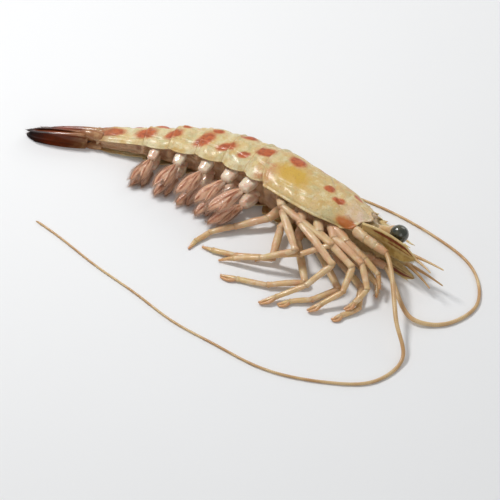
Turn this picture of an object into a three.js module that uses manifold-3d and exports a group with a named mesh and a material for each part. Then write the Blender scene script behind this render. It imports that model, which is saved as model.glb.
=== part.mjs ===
// A raw striped prawn, whole, with its head, legs and feelers on. It lies on its left flank on a flat surface.
// The frame is in millimetres with +Z up. The tail points to -X, the snout to +X, the back to +Y and the legs
// to -Y.
//
// Places on the body are given by three numbers:
//   station  along the body's axis, from 0 at the carapace's back edge, up to the snout and down to the tail
//   up       towards the back (dorsal) from the axis
//   side     towards the right flank, which lies uppermost
import * as THREE from "three";
import { mergeVertices } from "three/addons/utils/BufferGeometryUtils.js";
import Module from "manifold-3d";

const wasm = await Module();
wasm.setup();

// ---------------------------------------------------------------- driving dimensions

const CARAPACE = 45; // back edge to the eye sockets
const ROSTRUM_TIP = 64;
const SCALE_TIP = 72; // tip of the antennal scales, the foremost hard part
const SEGMENTS = [10, 12, 13.5, 12.5, 11.5, 21]; // abdomen segments, from the carapace to the tail
const TELSON = 23;
const UROPOD = 29;
const EYE_RADIUS = 3.7;
const SINK = 0.45; // how far the soft body flattens where it rests
const ORIGIN = [103.61, -31.13]; // middle of the prawn's outline, counted from the tail end of the axis

// Knots: [station, value]. A smooth curve runs through each list.
const HEADING = [[-112, 14], [-84, 9], [-60, 7], [-40, 2], [-20, -8], [-5, -16], [8, -19], [24, -18], [90, -18]];
const AXIS_HEIGHT = [[-112, 2.6], [-80, 3.5], [-60, 5.4], [-36, 8], [-10, 9.6], [10, 10.3], [44, 9.7], [80, 8.6]];
const WIDTH = [[-81, 3.5], [-70, 4.4], [-59, 5.6], [-48, 6.9], [-36, 8.3], [-22, 9.4], [0, 10.4], [12, 10.9],
  [24, 10.5], [36, 9], [48, 6.6]];
const BACK = [[-81, 4.8], [-70, 6.2], [-59, 7.6], [-48, 9.1], [-36, 10.7], [-22, 11.7], [0, 12.3], [12, 12.4],
  [24, 12], [36, 10.8], [48, 8.6]];
const BELLY = [[-81, 4.2], [-70, 5.2], [-59, 6.2], [-48, 7.8], [-36, 9.4], [-22, 10.7], [0, 12], [12, 12.6],
  [24, 12.2], [36, 10.4], [48, 7.8]];

// ---------------------------------------------------------------- curves and places

// A smooth curve through knots: on each span a cubic, with each knot's slope taken from its two neighbours.
function through(knots) {
  const last = knots.length - 1;
  const slope = (i) => {
    const [a, b] = [knots[Math.max(i - 1, 0)], knots[Math.min(i + 1, last)]];
    return (b[1] - a[1]) / (b[0] - a[0]);
  };
  return (x) => {
    if (x <= knots[0][0]) return knots[0][1];
    if (x >= knots[last][0]) return knots[last][1];
    const i = knots.findIndex((k) => k[0] > x) - 1;
    const [x0, y0] = knots[i];
    const [x1, y1] = knots[i + 1];
    const h = x1 - x0;
    const t = (x - x0) / h;
    const [t2, t3] = [t * t, t * t * t];
    return (2 * t3 - 3 * t2 + 1) * y0 + (t3 - 2 * t2 + t) * h * slope(i)
      + (3 * t2 - 2 * t3) * y1 + (t3 - t2) * h * slope(i + 1);
  };
}

const heading = through(HEADING);
const axisHeight = through(AXIS_HEIGHT);
const halfWidth = through(WIDTH);
const backHeight = through(BACK);
const bellyDepth = through(BELLY);

// The axis in plan, walked in steps of 1 mm along its heading from the tail end.
const AXIS_START = -112;
const AXIS_END = 90;
const AXIS = [new THREE.Vector2(-ORIGIN[0], -ORIGIN[1])];
for (let station = AXIS_START; station < AXIS_END; station++) {
  const turn = THREE.MathUtils.degToRad(heading(station + 0.5));
  AXIS.push(AXIS.at(-1).clone().add(new THREE.Vector2(Math.cos(turn), Math.sin(turn))));
}

// A point by its station, its distance towards the back and its height above the floor.
function onFloor(station, up, height) {
  const k = THREE.MathUtils.clamp(station - AXIS_START, 0, AXIS.length - 1.001);
  const plan = AXIS[Math.floor(k)].clone().lerp(AXIS[Math.floor(k) + 1], k % 1);
  const turn = THREE.MathUtils.degToRad(heading(station));
  return new THREE.Vector3(plan.x - up * Math.sin(turn), plan.y + up * Math.cos(turn), height);
}

// A point by its station, its distance towards the back and its distance towards the right flank.
const at = (station, up, side) => onFloor(station, up, axisHeight(station) + side);

// ---------------------------------------------------------------- making solids

function solid(geometry) {
  const bare = geometry.clone();
  ["normal", "uv"].forEach((name) => bare.deleteAttribute(name));
  const merged = mergeVertices(bare, 1e-4);
  const mesh = { numProp: 3, vertProperties: merged.attributes.position.array, triVerts: merged.index.array };
  const made = new wasm.Manifold(new wasm.Mesh(mesh));
  if (made.volume() > 0) return made;
  const turned = merged.index.array.slice();
  for (let i = 0; i < turned.length; i += 3) [turned[i + 1], turned[i + 2]] = [turned[i + 2], turned[i + 1]];
  return new wasm.Manifold(new wasm.Mesh({ ...mesh, triVerts: turned }));
}

// A closed skin over rings of equally many points, with a fan over each end.
function loft(rings) {
  const sides = rings[0].length;
  const middles = [rings[0], rings.at(-1)].map((ring) =>
    ring.reduce((sum, p) => sum.add(p), new THREE.Vector3()).divideScalar(sides));
  const points = [...rings.flat(), ...middles];
  const index = [];
  for (let j = 0; j < sides; j++) {
    const k = (j + 1) % sides;
    for (let i = 0; i + 1 < rings.length; i++) {
      const [a, b, c, d] = [i * sides + j, i * sides + k, (i + 1) * sides + j, (i + 1) * sides + k];
      index.push(a, c, b, b, c, d);
    }
    const end = (rings.length - 1) * sides;
    index.push(points.length - 2, j, k, points.length - 1, end + k, end + j);
  }
  return solid(new THREE.BufferGeometry().setFromPoints(points).setIndex(index));
}

// An oval section carried along a spine. sizes holds [half width, half thickness] for each point of the spine.
// The width lies square to both the spine and the reference direction.
function sweep(spine, sizes, sides, reference = new THREE.Vector3(0, 0, 1)) {
  return loft(spine.map((p, i) => {
    const along = spine[Math.min(i + 1, spine.length - 1)].clone().sub(spine[Math.max(i - 1, 0)]).normalize();
    const across = along.clone().cross(reference).normalize();
    const rise = across.clone().cross(along);
    return Array.from({ length: sides }, (_, j) => {
      const angle = (2 * Math.PI * j) / sides;
      return p.clone().addScaledVector(across, sizes[i][0] * Math.cos(angle))
        .addScaledVector(rise, sizes[i][1] * Math.sin(angle));
    });
  }));
}

// A leaf from base to tip: widest a little past its middle, thin, and rounded or pointed at the tip.
function leaf(base, tip, width, thickness, reference, { point = 0.5, root = 0.45 } = {}) {
  const stops = [0, 0.22, 0.5, 0.82, 1];
  const spine = stops.map((t) => base.clone().lerp(tip, t));
  const sizes = stops.map((t) => {
    const swell = Math.pow(Math.sin(Math.PI * (0.12 + 0.8 * t)), point);
    const share = Math.max(root * (1 - t), swell) * (t === 1 ? 0.55 : 1);
    return [(width / 2) * share, (thickness / 2) * (1 - 0.5 * t)];
  });
  return sweep(spine, sizes, 6, reference);
}

// ---------------------------------------------------------------- carapace and abdomen

const OUTER = 10; // points from the middle of the back to the lower edge of the flank
const EDGE_ANGLE = THREE.MathUtils.degToRad(66);

// Right half of the body's section, as [up, side]: q runs from 0 at the back, past 0.5 at the widest, to 1 at the
// lower edge.
function flank(station, q, grow, skirt) {
  const width = halfWidth(station) * grow;
  if (q <= 0.5) {
    const angle = q * Math.PI;
    return [backHeight(station) * grow * Math.cos(angle), width * Math.pow(Math.sin(angle), 0.86)];
  }
  const angle = (q - 0.5) * 2 * EDGE_ANGLE;
  const drop = Math.sin(angle) / Math.sin(EDGE_ANGLE);
  return [-bellyDepth(station) * grow * skirt * drop, width * Math.pow(Math.cos(angle), 0.45)];
}

// A ring of the body: out over the right flank, in under the belly, and back over the left flank.
function bodyRing(station, grow, skirt, shift = () => 0) {
  const right = [];
  for (let i = 0; i < OUTER; i++) {
    const q = i / (OUTER - 1);
    right.push([station + shift(q), ...flank(station, q, grow, skirt)]);
  }
  const [edgeStation, edgeUp, edgeSide] = right.at(-1);
  right.push([edgeStation, edgeUp * 0.84, edgeSide * 0.62]);
  const under = [edgeStation, edgeUp * 0.66, 0];
  const left = right.slice(1).reverse().map(([s, up, side]) => [s, up, -side]);
  return [...right, under, ...left].map(([s, up, side]) => at(s, up, side));
}

// One segment of the abdomen, from under the plate before it to its own raised back rim.
function segment(start, length, isLast) {
  const stops = isLast ? [0, 0.3, 0.66, 0.95, 1] : [0, 0.28, 0.62, 0.92, 1];
  const tuck = 1.6;
  const rings = stops.map((u) => {
    const grow = 0.93 + 0.08 * Math.pow(u, 0.6) - (u === 1 ? 0.02 : 0);
    const lobe = Math.pow(Math.sin(Math.PI * THREE.MathUtils.clamp(u, 0.04, 0.96)), 0.6);
    const skirt = isLast ? 0.92 : 0.74 + 0.26 * lobe;
    return bodyRing(start + tuck * (1 - u) - u * length, grow, skirt);
  });
  return loft(rings);
}

// The carapace's back edge bulges behind the middle of the flank and runs forward at the lower corner.
const rearShift = (q) => -3.2 * Math.sin(Math.PI * q) + 4.5 * q * q;
// Its front edge has the eye socket, the antennal spine, and then slopes back to the mouth.
const frontShift = through([[0, 0], [0.2, -2.5], [0.34, -1.5], [0.45, 1.6], [0.6, -1], [0.85, -2.5], [1, -7]]);

function carapace() {
  const stops = [-1.4, -0.6, 2, 8, 15, 23, 31, 37, 41, CARAPACE + 1];
  return loft(stops.map((station) => {
    const rear = Math.max(0, 1 - Math.max(station, 0) / 12);
    const front = THREE.MathUtils.smoothstep(station, 26, CARAPACE);
    const rim = station < -1 ? 1.02 : 1 + 0.045 * rear;
    return bodyRing(station, rim, 1, (q) => rear * rearShift(q) + front * frontShift(q));
  }));
}

// A thin blade that stands along the middle of the back, with teeth that point forward.
function rostrum() {
  const start = 17;
  const teeth = 8;
  const pitch = (ROSTRUM_TIP - 5 - start) / teeth;
  const crest = (s) => backHeight(Math.min(s, 48)) + 0.5 - 0.11 * Math.max(0, s - 48);
  const stops = [[start, 0]];
  for (let i = 0; i < teeth; i++) {
    const s = start + (i + 0.3) * pitch;
    stops.push([s, 0.3], [s + pitch * 0.5, 1.5], [s + pitch * 0.58, 0.3]);
  }
  stops.push([ROSTRUM_TIP, 0]);
  return loft(stops.map(([s, tooth]) => {
    const left = (ROSTRUM_TIP - s) / (ROSTRUM_TIP - start);
    const keel = s < CARAPACE ? 2 : 0.5 + 3.1 * Math.min(1, left / 0.45);
    const thick = 0.25 + 1.1 * Math.min(1, left * 1.6);
    const top = crest(s) + tooth;
    const section = [[top, 0], [top - keel * 0.55, thick], [top - keel - tooth, 0], [top - keel * 0.55, -thick]];
    return section.map(([up, aside]) => at(s, up, aside));
  }));
}

// The front of the head under the rostrum, which carries eyes, feelers and mouthparts.
function snout() {
  const stops = [[34, 7, 8, 7.5], [44, 6.4, 7, 7], [50, 5.2, 4.6, 6.4], [56, 4.2, 2.4, 5.8], [60, 3.2, 1, 4.8]];
  return loft(stops.map(([s, wide, high, deep]) =>
    Array.from({ length: 12 }, (_, j) => {
      const angle = (2 * Math.PI * j) / 12;
      const up = Math.cos(angle) * (Math.cos(angle) > 0 ? high : deep);
      return at(s, up, wide * Math.sin(angle));
    })));
}

// ---------------------------------------------------------------- head

// side is 1 for the right eye, which stands out, and -1 for the left one, which is pressed in by the floor.
function eye(side) {
  const out = side > 0 ? 6.8 : 5.7;
  const middle = at(59.5, 2.8, side * out);
  const ball = new THREE.SphereGeometry(EYE_RADIUS, 12, 8);
  ball.scale(1.05, 1, 0.94).translate(middle.x, middle.y, middle.z);
  const stalk = [at(48, 2.6, side * 2.6), at(53, 3, side * out * 0.66), middle];
  return [solid(ball), sweep(stalk, [[1.9, 1.7], [1.8, 1.6], [2.8, 2.6]], 8)];
}

// A stout three-jointed stem with two short feelers.
function antennule(side) {
  const stem = [[47, 1.6], [54, 1], [54.8, 1], [60, 0.4], [60.8, 0.4], [66, -0.2]]
    .map(([s, up]) => at(s, up, side * 2.7));
  const parts = [sweep(stem, [[2.2, 2.2], [2.4, 2.2], [2, 1.9], [2, 1.8], [1.6, 1.5], [1.4, 1.3]], 8)];
  for (const [spread, reach] of [[1.4, 83], [-0.6, 80]]) {
    const spine = [0, 0.35, 0.7, 1].map((t) =>
      at(65 + (reach - 65) * t, -0.2 + spread * t * 2.2 - 2 * t * t, side * (2.7 + 1.6 * t)));
    parts.push(sweep(spine, [[0.9, 0.8], [0.7, 0.6], [0.5, 0.4], [0.25, 0.2]], 5));
  }
  return parts;
}

// The stem that the broad blade and the long feeler grow from.
const STEM = [[44, -5.4, 4.6], [50, -6, 4.6], [55, -6.2, 4.2], [60, -6.2, 3.8]];

// The broad blade beside the snout, with that stem.
function antennalScale(side) {
  const across = at(60, 0, 1).sub(at(60, 0, 0));
  const flat = at(60, 1, 0).sub(at(60, 0, 0)).addScaledVector(across, -0.12 * side).normalize();
  const out = side > 0 ? 5.2 : 3.9;
  const ends = [at(46, -3.2, side * out), at(SCALE_TIP, -3, side * (out + 0.6))];
  const blade = leaf(...ends, 9.8, 1.5, flat, { point: 0.45, root: 0.7 });
  const base = STEM.map(([s, up, aside]) => at(s, up, side * aside));
  return [blade, sweep(base, [[2.4, 2.4], [2.5, 2.4], [2.1, 2], [1.5, 1.4]], 8)];
}

// The long feelers sweep forward, turn back and lie on the floor beside the body.
// Each point is [x, y, height], with x and y counted from the tail end of the axis.
const FEELERS = {
  right: [[181, -48, 8], [188, -60, 2], [181, -74, 0.7], [163, -82, 0.6], [137, -83, 0.6], [107, -76, 0.6],
    [77, -65, 0.5], [49, -53, 0.5], [27, -44, 0.4]],
  left: [[184, -39, 2.4], [197, -36, 0.9], [204, -22, 0.7], [197, -5, 0.7], [176, 8, 0.6], [148, 15, 0.6],
    [118, 19, 0.6], [88, 18, 0.5], [60, 13, 0.5], [38, 7, 0.4]],
};

function feeler(side) {
  const free = FEELERS[side > 0 ? "right" : "left"].map(([x, y, z]) =>
    new THREE.Vector3(x - ORIGIN[0], y - ORIGIN[1], z));
  const root = STEM.slice(-2).map(([s, up, aside]) => at(s, up, side * aside));
  const steps = 34;
  const spine = new THREE.CatmullRomCurve3([...root, ...free], false, "centripetal").getPoints(steps);
  return sweep(spine, spine.map((_, i) => {
    const radius = 0.42 + 0.78 * Math.pow(1 - i / steps, 2.4);
    return [radius, radius];
  }), 5);
}

// ---------------------------------------------------------------- legs and swimmerets

// A jointed limb: each inner joint becomes two points, farther apart at a sharper fold, so that its sections stay
// clear of each other.
function limb(joints, sizes, sides) {
  const spine = [joints[0]];
  const girth = [sizes[0]];
  for (let i = 1; i + 1 < joints.length; i++) {
    const [before, after] = [joints[i - 1], joints[i + 1]].map((other) => other.clone().sub(joints[i]));
    const apart = sizes[i][0] / Math.tan(before.angleTo(after) / 2);
    for (const other of [joints[i - 1], joints[i + 1]]) {
      const gap = Math.min(Math.max(0.7, 1.15 * apart), joints[i].distanceTo(other) * 0.42);
      spine.push(joints[i].clone().add(other.clone().sub(joints[i]).setLength(gap)));
      girth.push(sizes[i]);
    }
  }
  spine.push(joints.at(-1));
  girth.push(sizes.at(-1));
  return sweep(spine, girth, sides);
}

// Hip, end of the short joints, knee, wrist, palm and tip of each walking leg, as [station, up, height above the
// floor]. The right legs, first in each list, come from the upper flank and droop. The left ones lie on the floor.
const PINCER_LEGS = [
  [[34.5, -8, 12.5], [39.5, -12.5, 12.5], [55.5, -15, 10.5], [63.5, -21.6, 7], [62.5, -28, 4], [60.5, -32, 2.4]],
  [[28.5, -9, 13], [33.5, -14.5, 13.5], [53.5, -18.4, 10], [56.5, -28, 6], [52.5, -36, 3], [49.5, -40.8, 1.4]],
  [[21.5, -9.5, 13.5], [25.5, -16, 14], [47.5, -23.2, 11], [43.5, -34.4, 6], [36.5, -44, 2.6], [32.5, -49.6, 1.2]],
  [[34.5, -8, 6], [39.5, -13, 5], [58.5, -19.2, 3], [64.5, -28, 2], [61.5, -34.4, 1.4], [59.5, -38.4, 1]],
  [[28.5, -9, 6], [32.5, -15, 5], [52.5, -25.6, 3], [47.5, -36, 2], [41.5, -41.6, 1.4], [38.5, -45.6, 1]],
  [[21.5, -9.5, 6], [24.5, -16.8, 5], [40.5, -31.2, 3], [29.5, -40.8, 2], [18.5, -45.6, 1.4], [12.5, -48, 1]],
];
const PLAIN_LEGS = [
  [[15.5, -9.5, 13.5], [16.5, -16, 14], [31.5, -26.4, 11], [20.5, -34.4, 6], [11.5, -39.2, 3], [6.5, -42.4, 1]],
  [[9.5, -9, 13.5], [14.5, -14, 15], [41.5, -16.4, 13], [32.5, -24.8, 8.5], [22.5, -29.6, 4.5], [17.5, -33.6, 1.6]],
  [[15.5, -9.5, 6], [15.5, -16, 5], [22.5, -29.6, 3], [10.5, -36.8, 2], [0.5, -40, 1.3], [-5.5, -40.8, 0.8]],
  [[9.5, -9, 6], [8.5, -15, 5], [-0.5, -25.6, 3], [-8.5, -33.6, 2], [-11.5, -40, 1.3], [-11.5, -44.8, 0.8]],
];
const LEG_SIZES = [[2.3, 2], [1.8, 1.5], [1.35, 1.15], [1.15, 0.95], [1.1, 0.9], [0.45, 0.35]];

function leg(joints, isPincer) {
  const points = joints.map(([s, up, height]) => onFloor(s, up, height));
  const parts = [limb(points, LEG_SIZES, 6)];
  if (isPincer) {
    const [palm, tip] = points.slice(-2);
    const out = tip.clone().sub(palm);
    const beside = new THREE.Vector3(-out.y, out.x, 0).setLength(1.5);
    const bend = palm.clone().addScaledVector(out, 0.45).add(beside);
    const spine = [palm, bend, tip.clone().addScaledVector(beside, 0.7)];
    parts.push(sweep(spine, [[0.9, 0.8], [0.7, 0.6], [0.3, 0.25]], 5));
  }
  return parts;
}

// The foremost leg-like mouthparts, which lie along the underside of the head.
const MOUTHPARTS = [
  [[36, -8, 12.8], [44, -10.5, 12], [54, -11.5, 9.6], [62, -13, 7.4], [66, -17, 5.4]],
  [[36, -8, 6.6], [44, -10.5, 6], [55, -12, 4.6], [63, -14.5, 3.4], [66, -19, 2.4]],
];

const MOUTHPART_SIZES = [[2.2, 1.8], [1.9, 1.6], [1.5, 1.2], [1.1, 0.9], [0.5, 0.4]];

const mouthpart = (joints) => limb(joints.map(([s, up, height]) => onFloor(s, up, height)), MOUTHPART_SIZES, 6);

// A swimmeret: a stout paddle that hangs from the belly, and two soft blades that trail from it.
function swimmeret(index, side) {
  const start = -SEGMENTS.slice(0, index).reduce((sum, length) => sum + length, 0);
  const s = start - SEGMENTS[index] * 0.45;
  const size = 1 - 0.07 * index;
  const hip = bellyDepth(s) * 0.55;
  const height = axisHeight(s) + side * halfWidth(s) * 0.46;
  const droop = (share) => Math.max(1.4, height - share * (side > 0 ? 5.5 : 3));
  const stem = [[0, 0], [-0.4, 3.4], [-0.9, 7], [-1.4, 10]].map(([back, down]) =>
    onFloor(s + back * size, -hip - down * size, droop(down / 30)));
  const girth = [[2.2, 1.6], [2.7, 2], [2.7, 1.9], [1.9, 1.3]].map(([wide, thick]) => [wide * size, thick * size]);
  const parts = [sweep(stem, girth, 8)];
  const foot = stem.at(-1).clone().lerp(stem[2], 0.3);
  for (const [back, down, width] of [[-9, 24, 5.2], [-3, 22.5, 4.2]]) {
    const tip = onFloor(s + back * size, -hip - down * size, droop(1));
    parts.push(leaf(foot, tip, width * size, 1.5, new THREE.Vector3(0, 0, 1), { point: 0.6 }));
  }
  return parts;
}

// ---------------------------------------------------------------- tail fan

const TAIL = -SEGMENTS.reduce((sum, length) => sum + length, 0);

// The pointed middle plate of the fan, with its back ridge.
function telson() {
  const stops = [[-3, 3.5, 2.6], [3, 3.6, 2.3], [10, 3, 1.9], [17, 1.9, 1.4], [TELSON, 0.5, 0.5]];
  const spine = stops.map(([back]) => at(TAIL - back, 1.6 - 0.02 * back, 0));
  return sweep(spine, stops.map(([, wide, thick]) => [wide, thick]), 8, at(TAIL, 1, 0).sub(at(TAIL, 0, 0)));
}

// Two blades on each side, folded down beside the telson, and the short joint that carries them.
function uropods(side) {
  const s = TAIL;
  const parts = [sweep([at(s + 3, -1.5, side * 2), at(s - 2.5, -1.8, side * 3.6), at(s - 6, -2, side * 3.8)],
    [[2.4, 2.2], [2.4, 2], [1.8, 1.4]], 8)];
  const up = at(s, 1, 0).sub(at(s, 0, 0));
  const out = new THREE.Vector3(0, 0, side);
  const folded = (degrees) => {
    const turn = THREE.MathUtils.degToRad(degrees);
    return up.clone().multiplyScalar(Math.cos(turn)).addScaledVector(out, Math.sin(turn));
  };
  const outer = [at(s - 3.5, -2, side * 3.3), at(s - UROPOD, -1.4, side * 1.2)];
  const inner = [at(s - 3.5, -0.8, side * 2.3), at(s - UROPOD + 2, -0.3, side * 0.8)];
  parts.push(leaf(...outer, 7.6, 1.3, folded(58), { root: 0.5 }));
  parts.push(leaf(...inner, 6.6, 1.2, folded(32), { root: 0.5 }));
  return parts;
}

// ---------------------------------------------------------------- the whole prawn, as one solid

function abdomen() {
  let start = 0;
  return SEGMENTS.map((length, i) => {
    const made = segment(start, length, i === SEGMENTS.length - 1);
    start -= length;
    return made;
  });
}

const bothSides = (make) => [1, -1].flatMap(make);
const pieces = [
  carapace(), rostrum(), snout(), ...abdomen(), telson(),
  ...bothSides(uropods), ...bothSides(eye), ...bothSides(antennule), ...bothSides(antennalScale),
  ...bothSides(feeler), ...MOUTHPARTS.map(mouthpart),
  ...PINCER_LEGS.flatMap((joints) => leg(joints, true)), ...PLAIN_LEGS.flatMap((joints) => leg(joints, false)),
  ...bothSides((side) => [0, 1, 2, 3, 4].flatMap((i) => swimmeret(i, side))),
];

// Everything is lowered by SINK and cut off at the floor, which leaves the flat spots that the prawn rests on.
function onTheFloor(made) {
  const size = 400;
  const above = new THREE.BoxGeometry(size, size, size).translate(0, 0, size / 2 + SINK);
  return made.intersect(solid(above));
}

const whole = onTheFloor(wasm.Manifold.union(pieces)).decompose().sort((a, b) => b.volume() - a.volume())[0];
const mesh = whole.getMesh();
const geometry = new THREE.BufferGeometry();
geometry.setAttribute("position", new THREE.BufferAttribute(mesh.vertProperties, 3));
geometry.setIndex(new THREE.BufferAttribute(mesh.triVerts, 1));
geometry.translate(0, 0, -SINK);
geometry.computeVertexNormals();

const shell = new THREE.MeshStandardMaterial({ color: 0xd8bf86, roughness: 0.35, metalness: 0 });
const prawn = new THREE.Mesh(geometry, shell);
prawn.name = "prawn";

const part = new THREE.Group();
part.add(prawn);
export default part;
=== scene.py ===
"""A raw striped prawn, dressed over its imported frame.

The file is laid out as an add-on: property groups hold the sizes and colours, one operator makes each group of
pieces, and a panel lists them. Run as a script, it makes the whole prawn and its stage.

Lengths are in millimetres until a mesh is made. A place on the body is given by three numbers, as in the frame:
station along the body's axis (0 at the carapace's back edge, positive towards the snout), up towards the back, and
side towards the right flank, which lies uppermost. "Girth" runs over a section from -1 at the left lower edge, over
0 at the middle of the back, to 1 at the right lower edge.
"""

import math

import bpy
import mathutils
import numpy as np
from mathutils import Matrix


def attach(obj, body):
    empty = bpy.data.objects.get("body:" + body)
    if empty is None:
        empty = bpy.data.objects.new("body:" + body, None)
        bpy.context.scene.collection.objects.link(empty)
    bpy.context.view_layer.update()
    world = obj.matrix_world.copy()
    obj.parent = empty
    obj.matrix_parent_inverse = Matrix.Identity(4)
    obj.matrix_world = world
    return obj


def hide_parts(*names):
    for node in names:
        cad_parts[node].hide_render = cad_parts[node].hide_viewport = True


bl_info = {
    "name": "Raw Prawn",
    "version": (1, 0, 0),
    "blender": (4, 5, 0),
    "location": "View3D > Sidebar > Prawn",
    "description": "Makes the visible shell, limbs and feelers of a raw striped prawn",
    "category": "Object",
}

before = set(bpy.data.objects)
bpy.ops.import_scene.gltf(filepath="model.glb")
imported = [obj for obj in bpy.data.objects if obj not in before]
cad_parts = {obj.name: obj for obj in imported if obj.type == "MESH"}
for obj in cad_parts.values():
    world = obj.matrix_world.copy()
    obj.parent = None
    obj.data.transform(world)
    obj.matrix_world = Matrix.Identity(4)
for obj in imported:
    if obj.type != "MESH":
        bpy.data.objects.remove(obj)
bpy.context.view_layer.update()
NODE = "prawn"
MM = 0.001

# ---------------------------------------------------------------- the body's plan, shared with the frame

# Stations: the carapace's front edge, and the tips of the snout, of the rostrum and of the blades beside it.
CARAPACE = 45.0
SNOUT_TIP = 60.5
ROSTRUM_TIP = 64.0
SCALE_TIP = 72.0
# Lengths: the abdomen's segments from the front, which end at the station TAIL, the telson and the fan's blades.
SEGMENTS = (10.0, 12.0, 13.5, 12.5, 11.5, 21.0)
TAIL = -sum(SEGMENTS)
TELSON = 23.0
UROPOD = 29.0
EYE_RADIUS = 3.7
# The axis runs in plan from one station to another, and ORIGIN is the frame's origin from its first point. The body
# is sunk by a little before it is pressed flat on the surface.
AXIS_START, AXIS_END = -112, 90
ORIGIN = np.array([103.61, -31.13])
SINK = 0.45
# How far round a flank goes on below the widest point, as an angle.
EDGE_ANGLE = math.radians(66)
# A flank's length over the section, from the middle of the back to the edge: the carapace's in mm, and the abdomen's
# in heights of its back.
CARAPACE_FLANK = 35.0
ABDOMEN_FLANK = 2.9


def through(*knots):
    """A smooth curve through (x, y) knots: a cubic on each span, with a knot's slope taken from its neighbours."""
    x, y = np.array(knots, float).T
    slope = np.empty_like(y)
    slope[1:-1] = (y[2:] - y[:-2]) / (x[2:] - x[:-2])
    slope[0] = (y[1] - y[0]) / (x[1] - x[0])
    slope[-1] = (y[-1] - y[-2]) / (x[-1] - x[-2])

    def value(at_x):
        at_x = np.clip(np.asarray(at_x, float), x[0], x[-1])
        i = np.clip(np.searchsorted(x, at_x, side="right") - 1, 0, len(x) - 2)
        h = x[i + 1] - x[i]
        t = (at_x - x[i]) / h
        return ((2 * t**3 - 3 * t**2 + 1) * y[i] + (t**3 - 2 * t**2 + t) * h * slope[i]
                + (3 * t**2 - 2 * t**3) * y[i + 1] + (t**3 - t**2) * h * slope[i + 1])

    return value


# By station: the axis's heading in plan in degrees, its height, and the section's half width, height of the back and
# depth of the belly. By the share of a flank: how far the carapace's front edge is shifted along the axis.
heading = through((-112, 14), (-84, 9), (-60, 7), (-40, 2), (-20, -8), (-5, -16), (8, -19), (24, -18), (90, -18))
axis_height = through((-112, 2.6), (-80, 3.5), (-60, 5.4), (-36, 8), (-10, 9.6), (10, 10.3), (44, 9.7), (80, 8.6))
half_width, back_height, belly_depth = (
    through(*zip((-81, -70, -59, -48, -36, -22, 0, 12, 24, 36, 48), sizes)) for sizes in (
        (3.5, 4.4, 5.6, 6.9, 8.3, 9.4, 10.4, 10.9, 10.5, 9, 6.6),
        (4.8, 6.2, 7.6, 9.1, 10.7, 11.7, 12.3, 12.4, 12, 10.8, 8.6),
        (4.2, 5.2, 6.2, 7.8, 9.4, 10.7, 12, 12.6, 12.2, 10.4, 7.8)))
front_shift = through((0, 0), (0.2, -2.5), (0.34, -1.5), (0.45, 1.6), (0.6, -1), (0.85, -2.5), (1, -7))


def walk_axis():
    """The axis in plan: steps of 1 mm, each along the heading at its middle, added up from the tail end."""
    turn = np.radians(heading(np.arange(AXIS_START, AXIS_END) + 0.5))
    steps = np.stack([np.cos(turn), np.sin(turn)], axis=1)
    return np.concatenate([[[0, 0]], np.cumsum(steps, axis=0)]) - ORIGIN


AXIS = walk_axis()
AXIS_STATIONS = np.arange(AXIS_START, AXIS_END + 1)


def on_floor(station, up, height):
    """Points by station, distance towards the back, and height above the surface that the prawn lies on."""
    station, up, height = np.broadcast_arrays(*(np.asarray(v, float) for v in (station, up, height)))
    x, y = (np.interp(station, AXIS_STATIONS, axis) for axis in AXIS.T)
    turn = np.radians(heading(station))
    return np.stack([x - up * np.sin(turn), y + up * np.cos(turn), height - SINK], axis=-1)


def at(station, up, side):
    """Points by station, distance towards the back and distance towards the right flank."""
    station, up, side = np.broadcast_arrays(*(np.asarray(v, float) for v in (station, up, side)))
    return on_floor(station, up, axis_height(station) + side)


def direction(station, up, side):
    """The unit vector at a station that points up and sideways by those shares."""
    way = at(station, up, side) - at(station, 0, 0)
    return way / np.linalg.norm(way)


def flank(station, girth, grow, skirt):
    """The section's (up, side). From the back to the widest point it is a quarter of a superellipse, and below that
    the flank drops along the sine of an angle while it draws in by a small power of its cosine."""
    share = np.abs(girth)
    width = half_width(station) * grow
    over = np.minimum(share, 0.5) * math.pi
    under = (np.maximum(share, 0.5) - 0.5) * 2 * EDGE_ANGLE
    drop = np.sin(under) / math.sin(EDGE_ANGLE)
    up = np.where(share <= 0.5, back_height(station) * grow * np.cos(over),
                  -belly_depth(station) * grow * skirt * drop)
    side = width * np.where(share <= 0.5, np.sin(over) ** 0.86, np.cos(under) ** 0.45)
    return up, side * np.sign(girth)


# ---------------------------------------------------------------- small sums

def smooth(low, high, x):
    """0 below low, 1 above high, and a smooth step between them."""
    t = np.clip((np.asarray(x, float) - low) / (high - low), 0, 1)
    return t * t * (3 - 2 * t)


def bell(x, width):
    """A bell curve of height 1 about 0."""
    return np.exp(-(np.asarray(x, float) / width) ** 2)


def turns(count):
    """Angles spread evenly over a full turn."""
    return np.arange(count) * 2 * math.pi / count


def round_end(left, reach, least):
    """The root curve that rounds an end off over its last `reach`, and falls no lower than the root of `least`."""
    return np.sqrt(np.clip(left / reach, least, 1))


def resample(points, positions, wanted):
    """A row of points (n, 3), given at rising positions, read off at the wanted positions."""
    return np.stack([np.interp(wanted, positions, axis) for axis in points.T], axis=1)


def reach_along(points, power=1):
    """How far along a row of points each one lies, where each gap counts with its length raised to a power."""
    return np.concatenate([[0], np.cumsum(np.linalg.norm(np.diff(points, axis=0), axis=1) ** power)])


def unit(vectors):
    """The same directions with length 1."""
    return vectors / np.maximum(np.linalg.norm(vectors, axis=-1, keepdims=True), 1e-9)


def from_line(x, y, start, end):
    """Distance of the points (x, y) from the straight stretch between start and end."""
    ax, ay = start
    bx, by = end[0] - ax, end[1] - ay
    t = np.clip(((x - ax) * bx + (y - ay) * by) / (bx * bx + by * by), 0, 1)
    return np.hypot(x - ax - t * bx, y - ay - t * by)


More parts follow.
